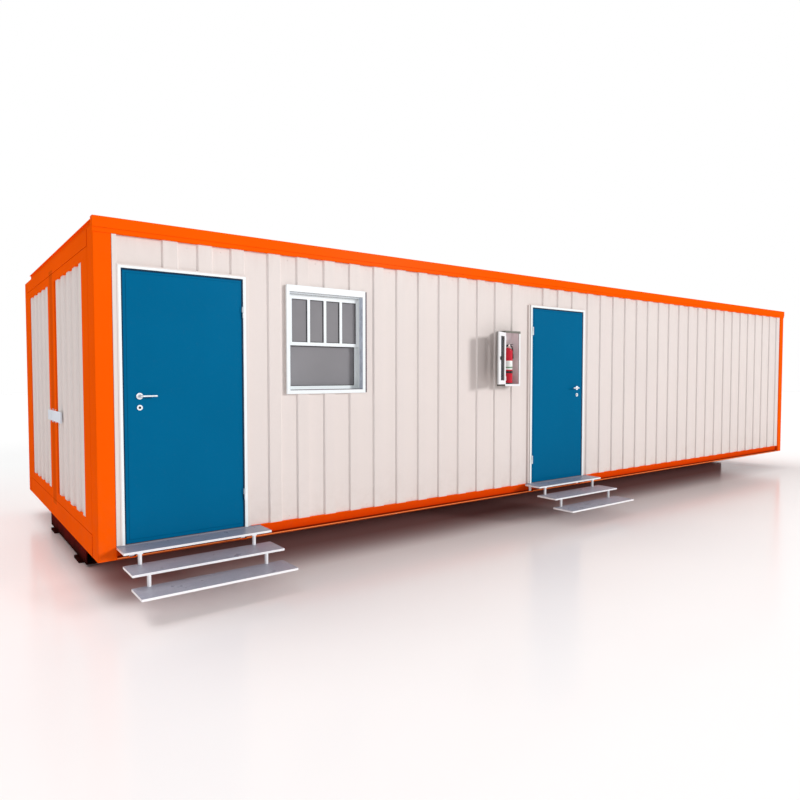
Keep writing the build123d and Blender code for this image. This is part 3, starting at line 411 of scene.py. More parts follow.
def metal(name, low, high):
    """Brushed steel with fine lines."""
    g = Graph(name)
    lines = g.noise(160.0, 3.0, 0.6, g.stretched(1.0, 1.0, 14.0))
    tone = g.mix(g.remap(lines, 0.3, 0.7), low, high)
    gloss = g.remap(lines, 0.3, 0.7, 0.2, 0.36)
    normal = g.bump(lines, 0.15, 0.0004)
    shader = g.node("BsdfPrincipled", Base_Color=tone, Roughness=gloss, Normal=normal)
    shader.inputs["Metallic"].default_value = 1.0
    return g.finish(shader.outputs[0])


def glass(name, low, high, clear):
    """Tinted window glass with faint smears."""
    g = Graph(name)
    tone = g.mix(g.remap(g.noise(1.4), 0.35, 0.65), low, high)
    smear = g.remap(g.noise(3.0, 5.0, 0.6), 0.4, 0.7, 0.03, 0.09)
    shader = g.node("BsdfPrincipled", Base_Color=tone, Roughness=smear)
    shader.inputs["Transmission Weight"].default_value = clear
    shader.inputs["Specular IOR Level"].default_value = 0.08
    return g.finish(shader.outputs[0])


def boards(name):
    """Sealed floor boards that run along the cabin, and red primed steel underneath."""
    g = Graph(name)
    grain = g.noise(24.0, 6.0, 0.65, g.stretched(0.12, 1.0, 1.0))
    tone = g.mix(g.remap(grain, 0.3, 0.7), rgb(150, 112, 78), rgb(188, 152, 112))
    boards_a_metre = 7.0
    across = g.math("FRACT", g.times(g.axis("Y"), boards_a_metre))
    tone = g.mix(g.math("LESS_THAN", across, 0.03), tone, rgb(70, 50, 36))
    tone = g.mix(g.below("Z", BOARD_FOOT), tone, rgb(176, 56, 34))
    normal = g.bump(grain, 0.2, 0.001)
    shader = g.node("BsdfPrincipled", Base_Color=tone, Roughness=0.45, Normal=normal)
    return g.finish(shader.outputs[0])


def step_steel(name):
    """Grey grit on top of the treads, and bright coated edges and posts."""
    g = Graph(name)
    grit = g.noise(260.0, 3.0, 0.7)
    top = g.mix(g.remap(grit, 0.35, 0.68), rgb(150, 150, 164), rgb(176, 176, 190))
    scuffs = g.remap(g.noise(5.0, 6.0, 0.7, g.stretched(1.0, 3.0, 1.0)), 0.5, 0.72, 0.0, 0.35)
    top = g.mix(scuffs, top, rgb(196, 194, 200))
    coating = g.remap(g.noise(11.0, 5.0, 0.6), 0.35, 0.7)
    sides = g.mix(coating, rgb(246, 246, 250), rgb(255, 255, 255))
    upward = g.math("GREATER_THAN", g.facing.outputs["Z"], 0.7)
    tone = g.mix(upward, sides, top)
    normal = g.bump(g.times(grit, upward), 0.5, 0.0015)
    gloss = g.remap(g.noise(7.0, 4.0), 0.3, 0.7, 0.26, 0.4)
    shader = g.node("BsdfPrincipled", Base_Color=tone, Roughness=gloss, Normal=normal)
    shader.inputs["Specular IOR Level"].default_value = 0.3
    return g.finish(shader.outputs[0])


def cabinet_steel(name):
    """Grey pressed steel outside, the grey standing partly for painted shade on the sides; pale
    inside, with a white front flange and lower lip.
    """
    g = Graph(name)
    # The outside grey stands partly for painted shade on the cabinet's sides.
    grey = painted(g, rgb(128, 126, 120), 0.04, 0.05)
    x = (CABINET[0] + 1, CABINET[1] - 6)
    y = (CABINET_Y[0] + 7, CABINET_Y[1] - 6)
    inner = g.within(x, y, (CABINET_Z[0] + 7, CABINET_Z[1] - 6))
    pale = g.mix(g.remap(g.noise(6.0, 3.0), 0.3, 0.7), rgb(244, 232, 234), rgb(252, 242, 244))
    grey = g.mix(inner, grey, pale)
    white = painted(g, rgb(238, 238, 240), 0.02, 0.03)
    # Front-facing flange faces are white; the other outside faces keep the grey that partly stands
    # for painted shade.
    forward = g.math("LESS_THAN", g.facing.outputs["Y"], -0.5)
    upward = g.math("GREATER_THAN", g.facing.outputs["Z"], 0.5)
    flange = g.below("Y", CABINET_Y[0] + 1)
    front = g.times(flange, g.below("Z", CABINET_DOOR_TOP - 2), forward)
    lip = g.times(g.below("Z", CABINET_Z[0] + 9), upward)
    tone = g.mix(g.math("MAXIMUM", front, lip), grey, white)
    return lacquer(g, tone, 0.45, 0.32, 0.2, 0.1)


def leaf_paint(name, colour):
    """Powder coat on a door leaf; the hinges, which stand out in front of it, are white."""
    g = Graph(name)
    tone = painted(g, colour, 0.03, 0.03)
    weave = g.noise(900.0, 2.0, 0.5)
    tone = g.mix(g.remap(weave, 0.4, 0.7, 0.0, 0.08), tone, shade(colour, 1.5))
    tone = edge_wear(g, tone, shade(colour, 0.5), 0.003, 0.5)
    tone = g.mix(g.below("Y", -5), tone, rgb(232, 236, 238))
    return lacquer(g, tone, 0.46, 0.34, 0.35, 0.05)


def plastic(name, colour, rough, specular=0.3):
    """Moulded plastic or rubber with a fine grain."""
    g = Graph(name)
    tone = g.mix(g.remap(g.noise(18.0, 4.0), 0.3, 0.7), shade(colour, 0.85), shade(colour, 1.15))
    gloss = g.remap(g.noise(30.0, 3.0), 0.3, 0.7, rough - 0.1, rough + 0.1)
    normal = g.bump(g.noise(700.0, 2.0), 0.15, 0.0004)
    shader = g.node("BsdfPrincipled", Base_Color=tone, Roughness=gloss, Normal=normal)
    shader.inputs["Specular IOR Level"].default_value = specular
    return g.finish(shader.outputs[0])


def skid_steel(name):
    """Oxide primer, black with mud towards the ground."""
    g = Graph(name)
    tone = painted(g, rgb(98, 18, 16), 0.10, 0.05)
    scale = g.remap(g.noise(12.0, 6.0, 0.7), 0.5, 0.68, 0.0, 0.5)
    tone = g.mix(scale, tone, rgb(60, 34, 26))
    splash = g.math("ADD", g.axis("Z"), g.remap(g.noise(6.0, 5.0), 0.3, 0.7, -0.03, 0.03))
    mud = g.remap(splash, 0.03, 0.12, 0.85, 0.0)
    tone = g.mix(mud, tone, rgb(30, 14, 12))
    return lacquer(g, tone, 0.75, 0.55, 0.9, 0.02)


# Colours and finishes

ORANGE = rgb(252, 92, 4)
WALL = rgb(229, 219, 215)
BLUE = rgb(0, 100, 144)
TRIM = rgb(244, 249, 251)

frame_paint = orange_frame("frame_paint_orange")
# The lip's lighter orange is a painted highlight on the same frame paint.
lip_highlight_paint = paint("rail_lip_painted_highlight", rgb(255, 134, 72), 0.4, 0.3, 0.04, 0.03, 0.0)
skid_paint = skid_steel("skid_paint_oxide")
wall_paint = wall_sheet("wall_paint_white")
roof_paint = paint("roof_paint_white", rgb(226, 220, 214), 0.6, 0.4, 0.05, 0.12, 0.0)
door_paint = leaf_paint("door_paint_blue", BLUE)
trim_paint = paint("trim_paint_white", TRIM, 0.4, 0.2, 0.012, 0.02, 0.03)
cabinet_paint = cabinet_steel("cabinet_steel")
cabinet_door_paint = paint("cabinet_door_white", rgb(236, 236, 238), 0.38, 0.2, 0.02, 0.02, 0.0)
black_plastic = plastic("black_plastic", rgb(26, 26, 28), 0.4)
red_paint = paint("red_gloss_paint", rgb(200, 14, 44), 0.3, 0.1, 0.04, 0.02, 0.0, coat=0.6)
step_metal = step_steel("step_steel_grey")
lock_paint = paint("lock_paint_grey", rgb(226, 234, 243), 0.42, 0.4, 0.04, 0.08, 0.0)
door_frame_finish = door_frame_paint("door_frame_white")
shadow_strip_plum = paint("window_shadow_plum", rgb(92, 78, 88), 0.5, 0.3, 0.04, 0.05, 0.0)
tread_grey = paint("tread_grey", rgb(150, 148, 160), 0.5, 0.4, 0.05, 0.05, 0.0)
lining = paint("lining_board_white", rgb(232, 230, 226), 0.6, 0.3, 0.02, 0.02, 0.0)
fixing_paint = paint("fixing_paint", WALL, 0.45, 0.2, 0.03, 0.02, 0.0)
handle_metal = metal("brushed_steel", rgb(212, 216, 220), rgb(244, 247, 250))
pane_glass = glass("window_glass_grey", rgb(156, 154, 158), rgb(166, 164, 168), 0.3)
cabinet_glass = glass("cabinet_glass_smoke", rgb(58, 54, 52), rgb(72, 66, 64), 0.2)
floor_boards = boards("floor_boards")
rubber = plastic("rubber_dark", rgb(52, 50, 54), 0.6, 0.2)
# A dark blue-black strip that stands for the frame's shadow on the leaf.
leaf_shadow_rubber = plastic("leaf_shadow_blue_black", rgb(6, 48, 76), 0.6, 0.1)
sealant = plastic("sealant_white", rgb(222, 218, 214), 0.55, 0.2)
# Blue-grey tracks, the tint partly a painted shade of the white reveal.
reveal_shade_plastic = plastic("reveal_tracks_blue_grey_painted_shade", rgb(206, 214, 228), 0.5, 0.2)

FINISH = {
    "frame_paint": frame_paint, "skid_paint": skid_paint, "floor_board": floor_boards,
    "lining_board": lining, "roof_paint": roof_paint, "wall_paint": wall_paint,
    "door_paint": door_paint, "trim_paint": trim_paint, "handle_metal": handle_metal,
    "window_frame": trim_paint, "glass": pane_glass, "cabinet_paint": cabinet_paint,
    "black_plastic": black_plastic, "red_paint": red_paint, "step_metal": step_metal,
    "lock_paint": lock_paint,
}
OWN_FINISH = {
    "cabinet_door": cabinet_door_paint, "cabinet_door_glass": cabinet_glass,
    "door_1_frame": door_frame_finish, "door_2_frame": door_frame_finish,
}

# Rounding of folded and pressed edges, in millimetres
ROUNDING = {
    "frame_paint": 3.0, "skid_paint": 2.0, "wall_paint": 2.5, "roof_paint": 2.0,
    "trim_paint": 1.2, "window_frame": 1.2, "door_paint": 0.8, "step_metal": 1.2,
    "lock_paint": 1.5, "cabinet_paint": 1.0,
}


def dress(name, slot):
    """Give a carried-over solid its material and round its edges."""
    node = frame["nodes"][name]
    node.data.materials.clear()
    node.data.materials.append(OWN_FINISH.get(name, FINISH[slot]))
    if slot in ROUNDING:
        round_edges(node, ROUNDING[slot])


def round_edges(piece, width):
    """Bevel a piece's sharp edges by a width in millimetres."""
    rounding = piece.modifiers.new("rounding", "BEVEL")
    rounding.width = width / 1000
    rounding.segments = 2
    rounding.limit_method = "ANGLE"
    rounding.angle_limit = math.radians(34)
    rounding.use_clamp_overlap = True


for entry in frame["record"]["subparts"]:
    dress(entry["node"], entry["material_slot"])


# Piece building

class Shape:
    """Solids gathered in one mesh, in cabin coordinates."""

    def __init__(self):
        self.mesh = bmesh.new()

    def box(self, x, y, z):
        """A block from its low and high coordinate on each axis."""
        for vert in bmesh.ops.create_cube(self.mesh, size=1.0)["verts"]:
            spans = zip((x, y, z), vert.co)
            vert.co = at(*(low + (c + 0.5) * (high - low) for (low, high), c in spans))
        return self

    def ring(self, x, y, z, width):
        """A rectangular frame in the XZ plane."""
        for low, high in ((x[0], x[0] + width), (x[1] - width, x[1])):
            self.box((low, high), y, z)
        for low, high in ((z[0], z[0] + width), (z[1] - width, z[1])):
            self.box((x[0] + width, x[1] - width), y, (low, high))
        return self

    def lathe(self, profile, centre, axis, steps, arc=360.0, start=0.0):
        """A turned or part-turned shape from (radius, distance) points."""
        turn = Vector(UP).rotation_difference(Vector(axis)).to_matrix()
        centre = Vector(centre)
        full = arc >= 360
        count = steps if full else steps + 1
        rows = []
        for radius, along in profile:
            if radius < 0.001:
                tip = centre + turn @ Vector((0, 0, along))
                rows.append([self.mesh.verts.new(at(*tip))])
                continue
            row = []
            for n in range(count):
                angle = math.radians(start + arc * n / steps)
                local = Vector((radius * math.cos(angle), radius * math.sin(angle), along))
                row.append(self.mesh.verts.new(at(*(centre + turn @ local))))
            rows.append(row)
        for low, high in zip(rows, rows[1:]):
            for n in range(steps):
                m = (n + 1) % count
                corners = [low[n % len(low)], low[m % len(low)]]
                corners += [high[m % len(high)], high[n % len(high)]]
                corners = list(dict.fromkeys(corners))
                if len(corners) > 2:
                    self.mesh.faces.new(corners)
        if not full:
            for n in (0, steps):
                self.mesh.faces.new([row[n] for row in rows if len(row) > 1])
        return self

    def sweep(self, points, radii, steps=8):
        """A round bar along a path, with its own radius at each point."""
        spots = [Vector(point) for point in points]
        sections = []
        for n, spot in enumerate(spots):
            along = (spots[min(n + 1, len(spots) - 1)] - spots[max(n - 1, 0)]).normalized()
            if sections:
                last = sections[-1][1]
                side = last - along * last.dot(along)
            else:
                side = along.orthogonal()
            side.normalize()
            sections.append((spot, side, along.cross(side)))
        loops = []
        for (spot, side, up), radius in zip(sections, radii):
            loop = []
            for k in range(steps):
                angle = math.tau * k / steps
                out = side * (radius * math.cos(angle)) + up * (radius * math.sin(angle))
                loop.append(self.mesh.verts.new(at(*(spot + out))))
            loops.append(loop)
        for low, high in zip(loops, loops[1:]):
            for k in range(steps):
                m = (k + 1) % steps
                self.mesh.faces.new([low[k], low[m], high[m], high[k]])
        self.mesh.faces.new(loops[0])
        self.mesh.faces.new(loops[-1])
        return self

    def weld(self, start, end, radius=3.5, pitch=7.0):
        """A rippled weld bead from one point to another."""
        a, b = Vector(start), Vector(end)
        count = max(3, int((b - a).length / pitch) * 2)
        points = [a.lerp(b, n / count) for n in range(count + 1)]
        radii = [radius * (1.0 if n % 2 else 0.78) for n in range(count + 1)]
        return self.sweep(points, radii, 6)

    def screw(self, spot, axis, size):
        """A hexagonal screw head on a dished washer."""
        washer = [(1.35, 0), (1.3, 0.18), (0.8, 0.32)]
        head = [(0.78, 0.2), (0.78, 0.66), (0.62, 0.8), (0, 0.8)]
        for profile, steps in ((washer, 12), (head, 6)):
            scaled = [(size * radius, size * along) for radius, along in profile]
            self.lathe(scaled, spot, axis, steps)
        return self

    def piece(self, name, body, slot, material, rounding=0.0, smooth=40.0):
        """Finish the mesh as a named piece that moves with a body."""
        bmesh.ops.recalc_face_normals(self.mesh, faces=self.mesh.faces)
        data = bpy.data.meshes.new(name)
        self.mesh.to_mesh(data)
        self.mesh.free()
        data.materials.append(material)
        data.polygons.foreach_set("use_smooth", [True] * len(data.polygons))
        data.set_sharp_from_angle(angle=math.radians(smooth))
        made = bpy.data.objects.new(name, data)
        bpy.context.scene.collection.objects.link(made)
        if rounding:
            round_edges(made, rounding)
        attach(made, body)


# Wall fixings and frame

def valleys(first_rib, limit):
    """The middle of each flat between two ribs of a sheet."""
    place = first_rib + RIB_WIDTH + (RIB_PITCH - RIB_WIDTH) / 2
    while place < limit:
        yield place
        place += RIB_PITCH


def in_doorway(x):
    """True where a screw would fall in a front doorway or close beside it."""
    return any(left - 20 < x < right + 20 for left, right in DOORS.values())


def wall_screws():
    """Sheet screws along the eaves and the foot of every wall."""
    shape = Shape()
    for left, right, first_rib in zip(BAY_EDGES, BAY_EDGES[1:], BAY_RIBS):
        for x in valleys(left + first_rib, right - 30):
            shape.screw((x, WALL_VALLEY, FASCIA_BOTTOM - 40), FORWARD, SCREW)
            if not in_doorway(x):
                shape.screw((x, WALL_VALLEY, RAIL_TOP + SCREW_INSET), FORWARD, SCREW)
    foot, top = span("back_wall", "Z")
    for x in valleys(POST_FACE + BACK_RIB, LENGTH - POST_FACE - 60):
        for z in (foot + SCREW_INSET, top - SCREW_INSET):
            shape.screw((LENGTH - x, WIDTH - WALL_VALLEY, z), (0, 1, 0), SCREW)
    foot, top = span("right_end_wall", "Z")
    for y in valleys(POST_SIDE + END_RIB, WIDTH - POST_SIDE - 60):
        for z in (foot + SCREW_INSET, top - SCREW_INSET):
            shape.screw((LENGTH - WALL_VALLEY, y, z), (1, 0, 0), SCREW)
    shape.piece("wall_screws", "cabin", "wall_paint", fixing_paint, smooth=30.0)


def frame_welds():
    """Weld beads where the front rail and the left end's sill and header meet the posts."""
    shape = Shape()
    for x in (POST_FACE, LENGTH - POST_FACE):
        shape.weld((x, -1, BASE), (x, -1, RAIL_TOP))
    for y in (POST_SIDE, WIDTH - POST_SIDE):
        shape.weld((-1, y, BASE), (-1, y, END_SILL_TOP))
        shape.weld((-1, y, END_HEADER_FOOT), (-1, y, FRAME_TOP))
    shape.piece("frame_welds", "cabin", "frame_paint", frame_paint)


def skid_welds():
    """Weld beads and bolts where the cross beams meet the skids."""
    shape = Shape()
    plate = span("skid_cross_left", "Z")[0]
    beams = (span("skid_cross_left", "X"), span("skid_cross_right", "X"))
    for skid in ("skid_front", "skid_back"):
        near, far = span(skid, "Y")
        for x in (beams[0][1], beams[1][0]):
            for z in (plate + 1, BASE - 1):
                shape.weld((x, near, z), (x, far, z), 4.0, 9.0)
        for dx in (25, 75):
            for dy in (-80, 80):
                for x in (beams[0][0] + dx, beams[1][1] - dx):
                    shape.screw((x, (near + far) / 2 + dy, plate), UP, SKID_BOLT)
    shape.piece("skid_welds", "cabin", "skid_paint", skid_paint)


def rail_lips():
    """The folded lip along the foot of the front rail's channel, broken at the step hangers; its
    lighter orange is a painted highlight.
    """
    shape = Shape()
    stops = [POST_FACE + 2]
    breadth = HANGER_WIDTH + HANGER_ROOM
    for steps in STEPS:
        left, right = span(steps + "_posts", "X")
        stops += [left - HANGER_ROOM, left + breadth, right - breadth, right + HANGER_ROOM]
    stops.append(LENGTH - POST_FACE - 2)
    for low, high in zip(stops[::2], stops[1::2]):
        shape.box((low, high), (0, 4), (BASE + 0.5, BASE + 15))
    shape.piece("rail_lip_front", "cabin", "frame_paint", lip_highlight_paint, 1.2)


wall_screws()
frame_welds()
skid_welds()
rail_lips()


# Front doors

def door_trims(name, left, right):
    """Sealant behind the frame's edges, and a ribbed threshold plate."""
    near, far = 3, 16
    filler = Shape()
    for x in ((left + near, left + far), (right - far, right - near)):
        filler.box(x, SHEET_DEPTH, (RAIL_TOP + 1, DOOR_TOP - near))
    filler.box((left + far, right - far), SHEET_DEPTH, (DOOR_TOP - far, DOOR_TOP - near))
    filler.piece(name + "_sealant", "cabin", "trim_paint", sealant, 1.0)
    side, bed, gauge = 47, RAIL_TOP + 15, 3
    plate = Shape()
    plate.box((left + side, right - side), (56, WALL_INNER - 1), (bed, bed + gauge))
    for n in range(9):
        y = 62 + n * 8.5
        plate.box((left + side + 5, right - side - 5), (y, y + 3), (bed + 2, bed + gauge + 1.5))
    plate.piece(name + "_threshold_plate", "cabin", "handle_metal", handle_metal, 0.4)


def leaf_shadow_strip(name, left, right):
    """A dark strip on the leaf's recessed border, a painted shadow of the frame, wider at the right
    and top.
    """
    x = (left + LEAF_INSET, right - LEAF_INSET)
    y = (-1, 2.5)
    z = (span(name + "_leaf", "Z")[0] + 0.5, DOOR_TOP - LEAF_INSET)
    narrow, wide = 6, 10
    shape = Shape()
    for side in ((x[0], x[0] + narrow), (x[1] - wide, x[1])):
        shape.box(side, y, z)
    shape.box((x[0] + narrow, x[1] - wide), y, (z[1] - wide, z[1]))
    shape.piece(name + "_leaf_shadow_strip", name, "door_paint", leaf_shadow_rubber, 0.6)


def handle_trims(name):
    """Collars on the lever's spindle and a dark keyway face, on both sides of the leaf."""
    x = middle(name + "_lock", "X")
    key_height = span(name + "_lock", "Z")[0] + LOCK_RADIUS
    collars = Shape()
    keys = Shape()
    inner = span(name + "_leaf", "Y")[1]
    for face, out in ((inner - LEAF_THICKNESS, -1), (inner, 1)):
        step = (0, out, 0)
        spindle = (x, face, middle(name + "_lever", "Z"))
        lock = (x, face, key_height)
        collars.lathe([(14, 8), (14, 11), (12.5, 12.5), (10.2, 12.5)], spindle, step, 28)
        keys.lathe([(14.5, 8.05), (14.5, 8.5), (9.6, 8.9), (9.6, 8.05)], spindle, step, 28)
        keys.lathe([(10.6, 8.1), (10.6, 9.2), (0, 9.2)], lock, step, 24)
        slot = (x, face, key_height + 5)
        keys.lathe([(0, 9.0), (3.0, 9.0), (3.0, 9.6), (0, 9.6)], slot, step, 12)
    collars.piece(name + "_lever_collars", name, "handle_metal", handle_metal)
    keys.piece(name + "_key_faces", name, "black_plastic", black_plastic)


for door, edges in DOORS.items():
    door_trims(door, *edges)
    leaf_shadow_strip(door, *edges)
    handle_trims(door)


# Cover strips and steps

def wall_flashings():
    """Flat cover strips on the wall sheet at the corner and beside the doors."""
    back = SHEET_DEPTH[1]
    corner = Shape()
    corner.box((POST_FACE + 0.5, CORNER_STRIP), (-2, back), (RAIL_TOP + 1, FASCIA_BOTTOM - 1))
    corner.piece("corner_flashing", "cabin", "wall_paint", wall_paint, 1.5)
    strips = Shape()
    for left, right in DOORS.values():
        sides = [(right - 1, right + 22)]
        if left > CORNER_STRIP:
            sides.append((left - 24, left + 1))
        for x in sides:
            strips.box(x, (5.5, back), (RAIL_TOP + 1, DOOR_TOP - 2))
    strips.piece("opening_flashings", "cabin", "wall_paint", wall_paint, 1.5)


def tread_upstands():
    """A low upstand at the back of each top tread, in front of the rail's edge."""
    shape = Shape()
    for steps in STEPS:
        left, right = span(steps + "_treads", "X")
        shape.box((left + 1, right - 1), (-5, -0.5), (TREAD_TOP - 0.5, TREAD_TOP + 7))
    shape.piece("tread_upstands", "cabin", "step_metal", tread_grey, 0.8)


wall_flashings()
tread_upstands()


# Window

def window_gaskets():
    """A gasket round each of the upper sash's four panes, and one round the lower pane."""
    shape = Shape()
    pitch = (PANES[1] - PANES[0]) / 4
    for n in range(4):
        left = PANES[0] + pitch * n + (MUNTIN_HALF if n else 0)
        right = PANES[0] + pitch * (n + 1) - (MUNTIN_HALF if n < 3 else 0)
        shape.ring((left, right), (UPPER_PANE_Y - 4.5, UPPER_PANE_Y), UPPER_PANE_Z, 6)
    shape.ring(PANES, (LOWER_PANE_Y - 4.5, LOWER_PANE_Y), LOWER_PANE_Z, 6)
    shape.piece("window_gaskets", "cabin", "window_frame", rubber)


def window_tracks():
    """Two tracks on each side of the opening, in front of the sashes; their blue-grey stands partly
    for painted shade in the reveal.
    """
    shape = Shape()
    z = (OPENING_Z[0] + 1, OPENING_Z[1] - 1)
    for x in ((OPENING[1] - 4.5, OPENING[1]), (OPENING[0], OPENING[0] + 4.5)):
        for y in ((-9, 14), (18, 43)):
            shape.box(x, y, z)
    shape.piece("window_side_tracks", "cabin", "window_frame", reveal_shade_plastic, 0.8)


def window_seals():
    """Sealant behind the frame, a dark strip at its right as painted shadow, a dark sill line and
    head joints that are partly painted shade.
    """
    edge = 4
    z = (WINDOW_Z[0] + edge, WINDOW_Z[1] - edge)
    filler = Shape().ring((WINDOW[0] + edge, WINDOW[1] - edge), SHEET_DEPTH, z, 14)
    filler.piece("window_sealant", "cabin", "window_frame", sealant, 1.0)
    # Painted shadow: a dark strip on the wall at the frame's right, where the casing's shadow
    # falls.
    strips = Shape().box((WINDOW[1] + 0.5, WINDOW[1] + 23), (-3, SHEET_DEPTH[1]), z)
    # Under the lower sash, a dark line that is partly a joint and partly painted shade.
    sill = OPENING_Z[0]
    strips.box((OPENING[0] + 6, OPENING[1] - 6), (-9, -2), (sill + 1.4, sill + 7.5))
    strips.piece("window_shadow_strips", "cabin", "window_frame", shadow_strip_plum, 1.0)
    # The head joints are dark rubber that stands partly for painted shade under the head.
    head = OPENING_Z[1]
    joints = Shape().box(OPENING, (-15.0, -13.2), (head - 0.5, head + 2.5))
    joints.box(OPENING, (44, 57), (head - 10, head))
    joints.piece("window_head_joint_and_shade", "cabin", "window_frame", rubber, 0.3)


def window_catch():
    """A cam catch on the meeting rail, inside the room."""
    x = sum(WINDOW) / 2
    rail = UPPER_PANE_Z[0]
    shape = Shape().box((x - 30, x + 30), (97, 121), (rail, rail + 6))
    shape.lathe([(11, 0), (11, 8), (8, 11), (0, 11)], (x, 110, rail + 6), UP, 20)
    shape.box((x - 2, x + 34), (103, 113), (rail + 10, rail + 16))
    shape.piece("window_catch", "cabin", "handle_metal", handle_metal, 0.8)


window_gaskets()
window_tracks()
window_seals()
window_catch()


# Extinguisher and its cabinet

def swung_open(shape):
    """Turn a shape drawn on the closed cabinet door to where the door stands open."""
    hinge = at(*CABINET_HINGE, 0)
    swing = Matrix.Rotation(math.radians(-CABINET_SWING), 4, "Z")
    shape.mesh.transform(Matrix.Translation(hinge) @ swing @ Matrix.Translation(-hinge))
    return shape


def cabinet_door_trims():
    """A white plate and a black cap on the door's inner knob, and seals round its pane."""
    inwards = (0, 1, 0)
    rim = [(15.5, 0), (31, 0), (31, 2), (29, 3.2), (15.5, 3.2)]
    plate = swung_open(Shape().lathe(rim, KNOB, inwards, 36))
    plate.piece("cabinet_knob_plate", "cabinet_lid", "cabinet_paint", cabinet_door_paint)
    dome = [(16.5, 6), (23, 8), (23, 16), (19, 20), (0, 21)]
    cap = swung_open(Shape().lathe(dome, KNOB, inwards, 32))
    cap.piece("cabinet_knob_cap", "cabinet_lid", "black_plastic", black_plastic)
    over = 5
    x = (CABINET_PANE[0] - over, CABINET_PANE[1] + over)
    z = (CABINET_PANE_Z[0] - over, CABINET_PANE_Z[1] + over)
    seal = Shape()
    for y in ((-133.2, -131.4), (-150.6, -148.8)):
        seal.ring(x, y, z, over + 2)
    swung_open(seal).piece("cabinet_pane_seal", "cabinet_lid", "cabinet_paint", rubber, 0.5)


def label_print():
    """A plain pale label with one green band and no writing."""
    g = Graph("label_plain")
    paper = g.mix(g.remap(g.noise(20.0, 3.0), 0.3, 0.7), rgb(226, 230, 226), rgb(242, 244, 242))
    tone = g.mix(g.within(None, None, LABEL_BAND_Z), paper, rgb(110, 150, 120))
    gloss = g.remap(g.noise(9.0), 0.3, 0.7, 0.25, 0.4)
    shader = g.node("BsdfPrincipled", Base_Color=tone, Roughness=gloss)
    return g.finish(shader.outputs[0])


def dial_print():
    """A gauge face in two plain zones."""
    g = Graph("dial_plain")
    tone = g.mix(g.above("Z", GAUGE[2]), rgb(204, 60, 48), rgb(236, 238, 236))
    tone = g.mix(g.remap(g.noise(60.0), 0.4, 0.7, 0.0, 0.15), tone, rgb(120, 120, 120))
    shader = g.node("BsdfPrincipled", Base_Color=tone, Roughness=0.3)
    return g.finish(shader.outputs[0])


def band(low, high, thick):
    """Points of a thin sleeve round the bottle, with eased edges."""
    radius = BOTTLE_RADIUS - 0.2
    outer, eased = radius + thick, radius + thick * 0.8
    lower = [(radius, low), (eased, low + thick * 0.3), (outer, low + thick)]
    return lower + [(outer, high - thick), (eased, high - thick * 0.3), (radius, high)]


def bottle_bands():
    """The label round the bottle's front, and the strap with its buckle and wall block."""
    label = Shape().lathe(band(*LABEL_Z, 0.6), BOTTLE, UP, 48, 210, 165)
    label.piece("extinguisher_label", "cabin", "red_paint", label_print())
    low, high = STRAP_Z
    strap = Shape().lathe(band(low, high, 1.6), BOTTLE, UP, 56)
    x = BOTTLE[0]
    strap.box((x - 10, x + 10), (-121, -114), (low - 3, high + 3))
    strap.box((x - 20, x + 20), (-8, 0.5), (low - 17, high + 17))
    strap.piece("extinguisher_strap", "cabin", "black_plastic", black_plastic, 0.6)


def valve_trims():
    """The neck's collar and gauge ring, the gauge's face, the safety pin and the nozzle."""
    low = BOTTLE_TOP - 4
    neck = [(18.2, low), (24, low + 1), (25, low + 3), (25, low + 7), (24, low + 9)]
    neck.append((15.2, low + 10))
    collar = Shape().lathe(neck, BOTTLE, UP, 32)
    collar.lathe([(12, 0), (14.5, 2), (14.5, 9), (13, 10.5), (11.5, 9)], GAUGE, FORWARD, 28)
    collar.piece("extinguisher_collar", "cabin", "handle_metal", sealant)
    dial = Shape().lathe([(0, 8.6), (12.2, 8.6)], GAUGE, FORWARD, 28)
    dial.piece("extinguisher_gauge_face", "cabin", "black_plastic", dial_print())
    x, y, z = VALVE
    pin = Shape().sweep([(x - 34, y, z), (x - 20, y, z), (x + 16, y, z)], [1.6] * 3)
    angles = [math.tau * n / 20 for n in range(21)]
    loop = [(x - 44 + 10 * math.cos(a), y, z + 10 * math.sin(a)) for a in angles]
    pin.sweep(loop, [1.4] * len(loop), 6)
    pin.piece("extinguisher_pin", "cabin", "handle_metal", handle_metal)
    route = [(0, 0, 4), (36, -6, 0), (58, -12, -18), (63, -14, -56), (62, -14, -104)]
    radii = [8, 8, 8, 8.5, 11]
    nozzle = Shape().sweep([Vector(VALVE) + Vector(offset) for offset in route], radii, 14)
    horn = [(11, 0), (13, -4), (13, -46), (9, -60), (0, -60)]
    nozzle.lathe(horn, (x + 62, y - 14, z - 102), UP, 20)
    nozzle.piece("extinguisher_nozzle", "cabin", "black_plastic", black_plastic)


def base_ring():
    """A black ring round the bottle's foot."""
    foot = BOTTLE_FOOT
    profile = [(0, foot + 0.2), (50, foot + 0.2), (55.2, foot + 4), (55.6, foot + 27)]
    profile.append((54, foot + 30))
    base = Shape().lathe(profile, BOTTLE, UP, 48)
    base.piece("extinguisher_base_ring", "cabin", "black_plastic", black_plastic)


cabinet_door_trims()
bottle_bands()
valve_trims()
base_ring()


# End doors

def end_door_bolts(name, edge, insets):
    """Bolts in a meeting stile, close above and below the lock plate."""
    low, high = span(name + "_lock_plate", "Z")
    shape = Shape()
    for z in (low - BOLT_OFFSET, high + BOLT_OFFSET):
        for inset in insets:
            shape.screw((0, edge + inset, z), (-1, 0, 0), STILE_BOLT)
    shape.piece(name + "_bolts", name, "lock_paint", lock_paint)


for (door, insets), edge in zip(STILE_BOLTS.items(), MEETING_EDGES):
    end_door_bolts(door, edge, insets)


# Inside the room

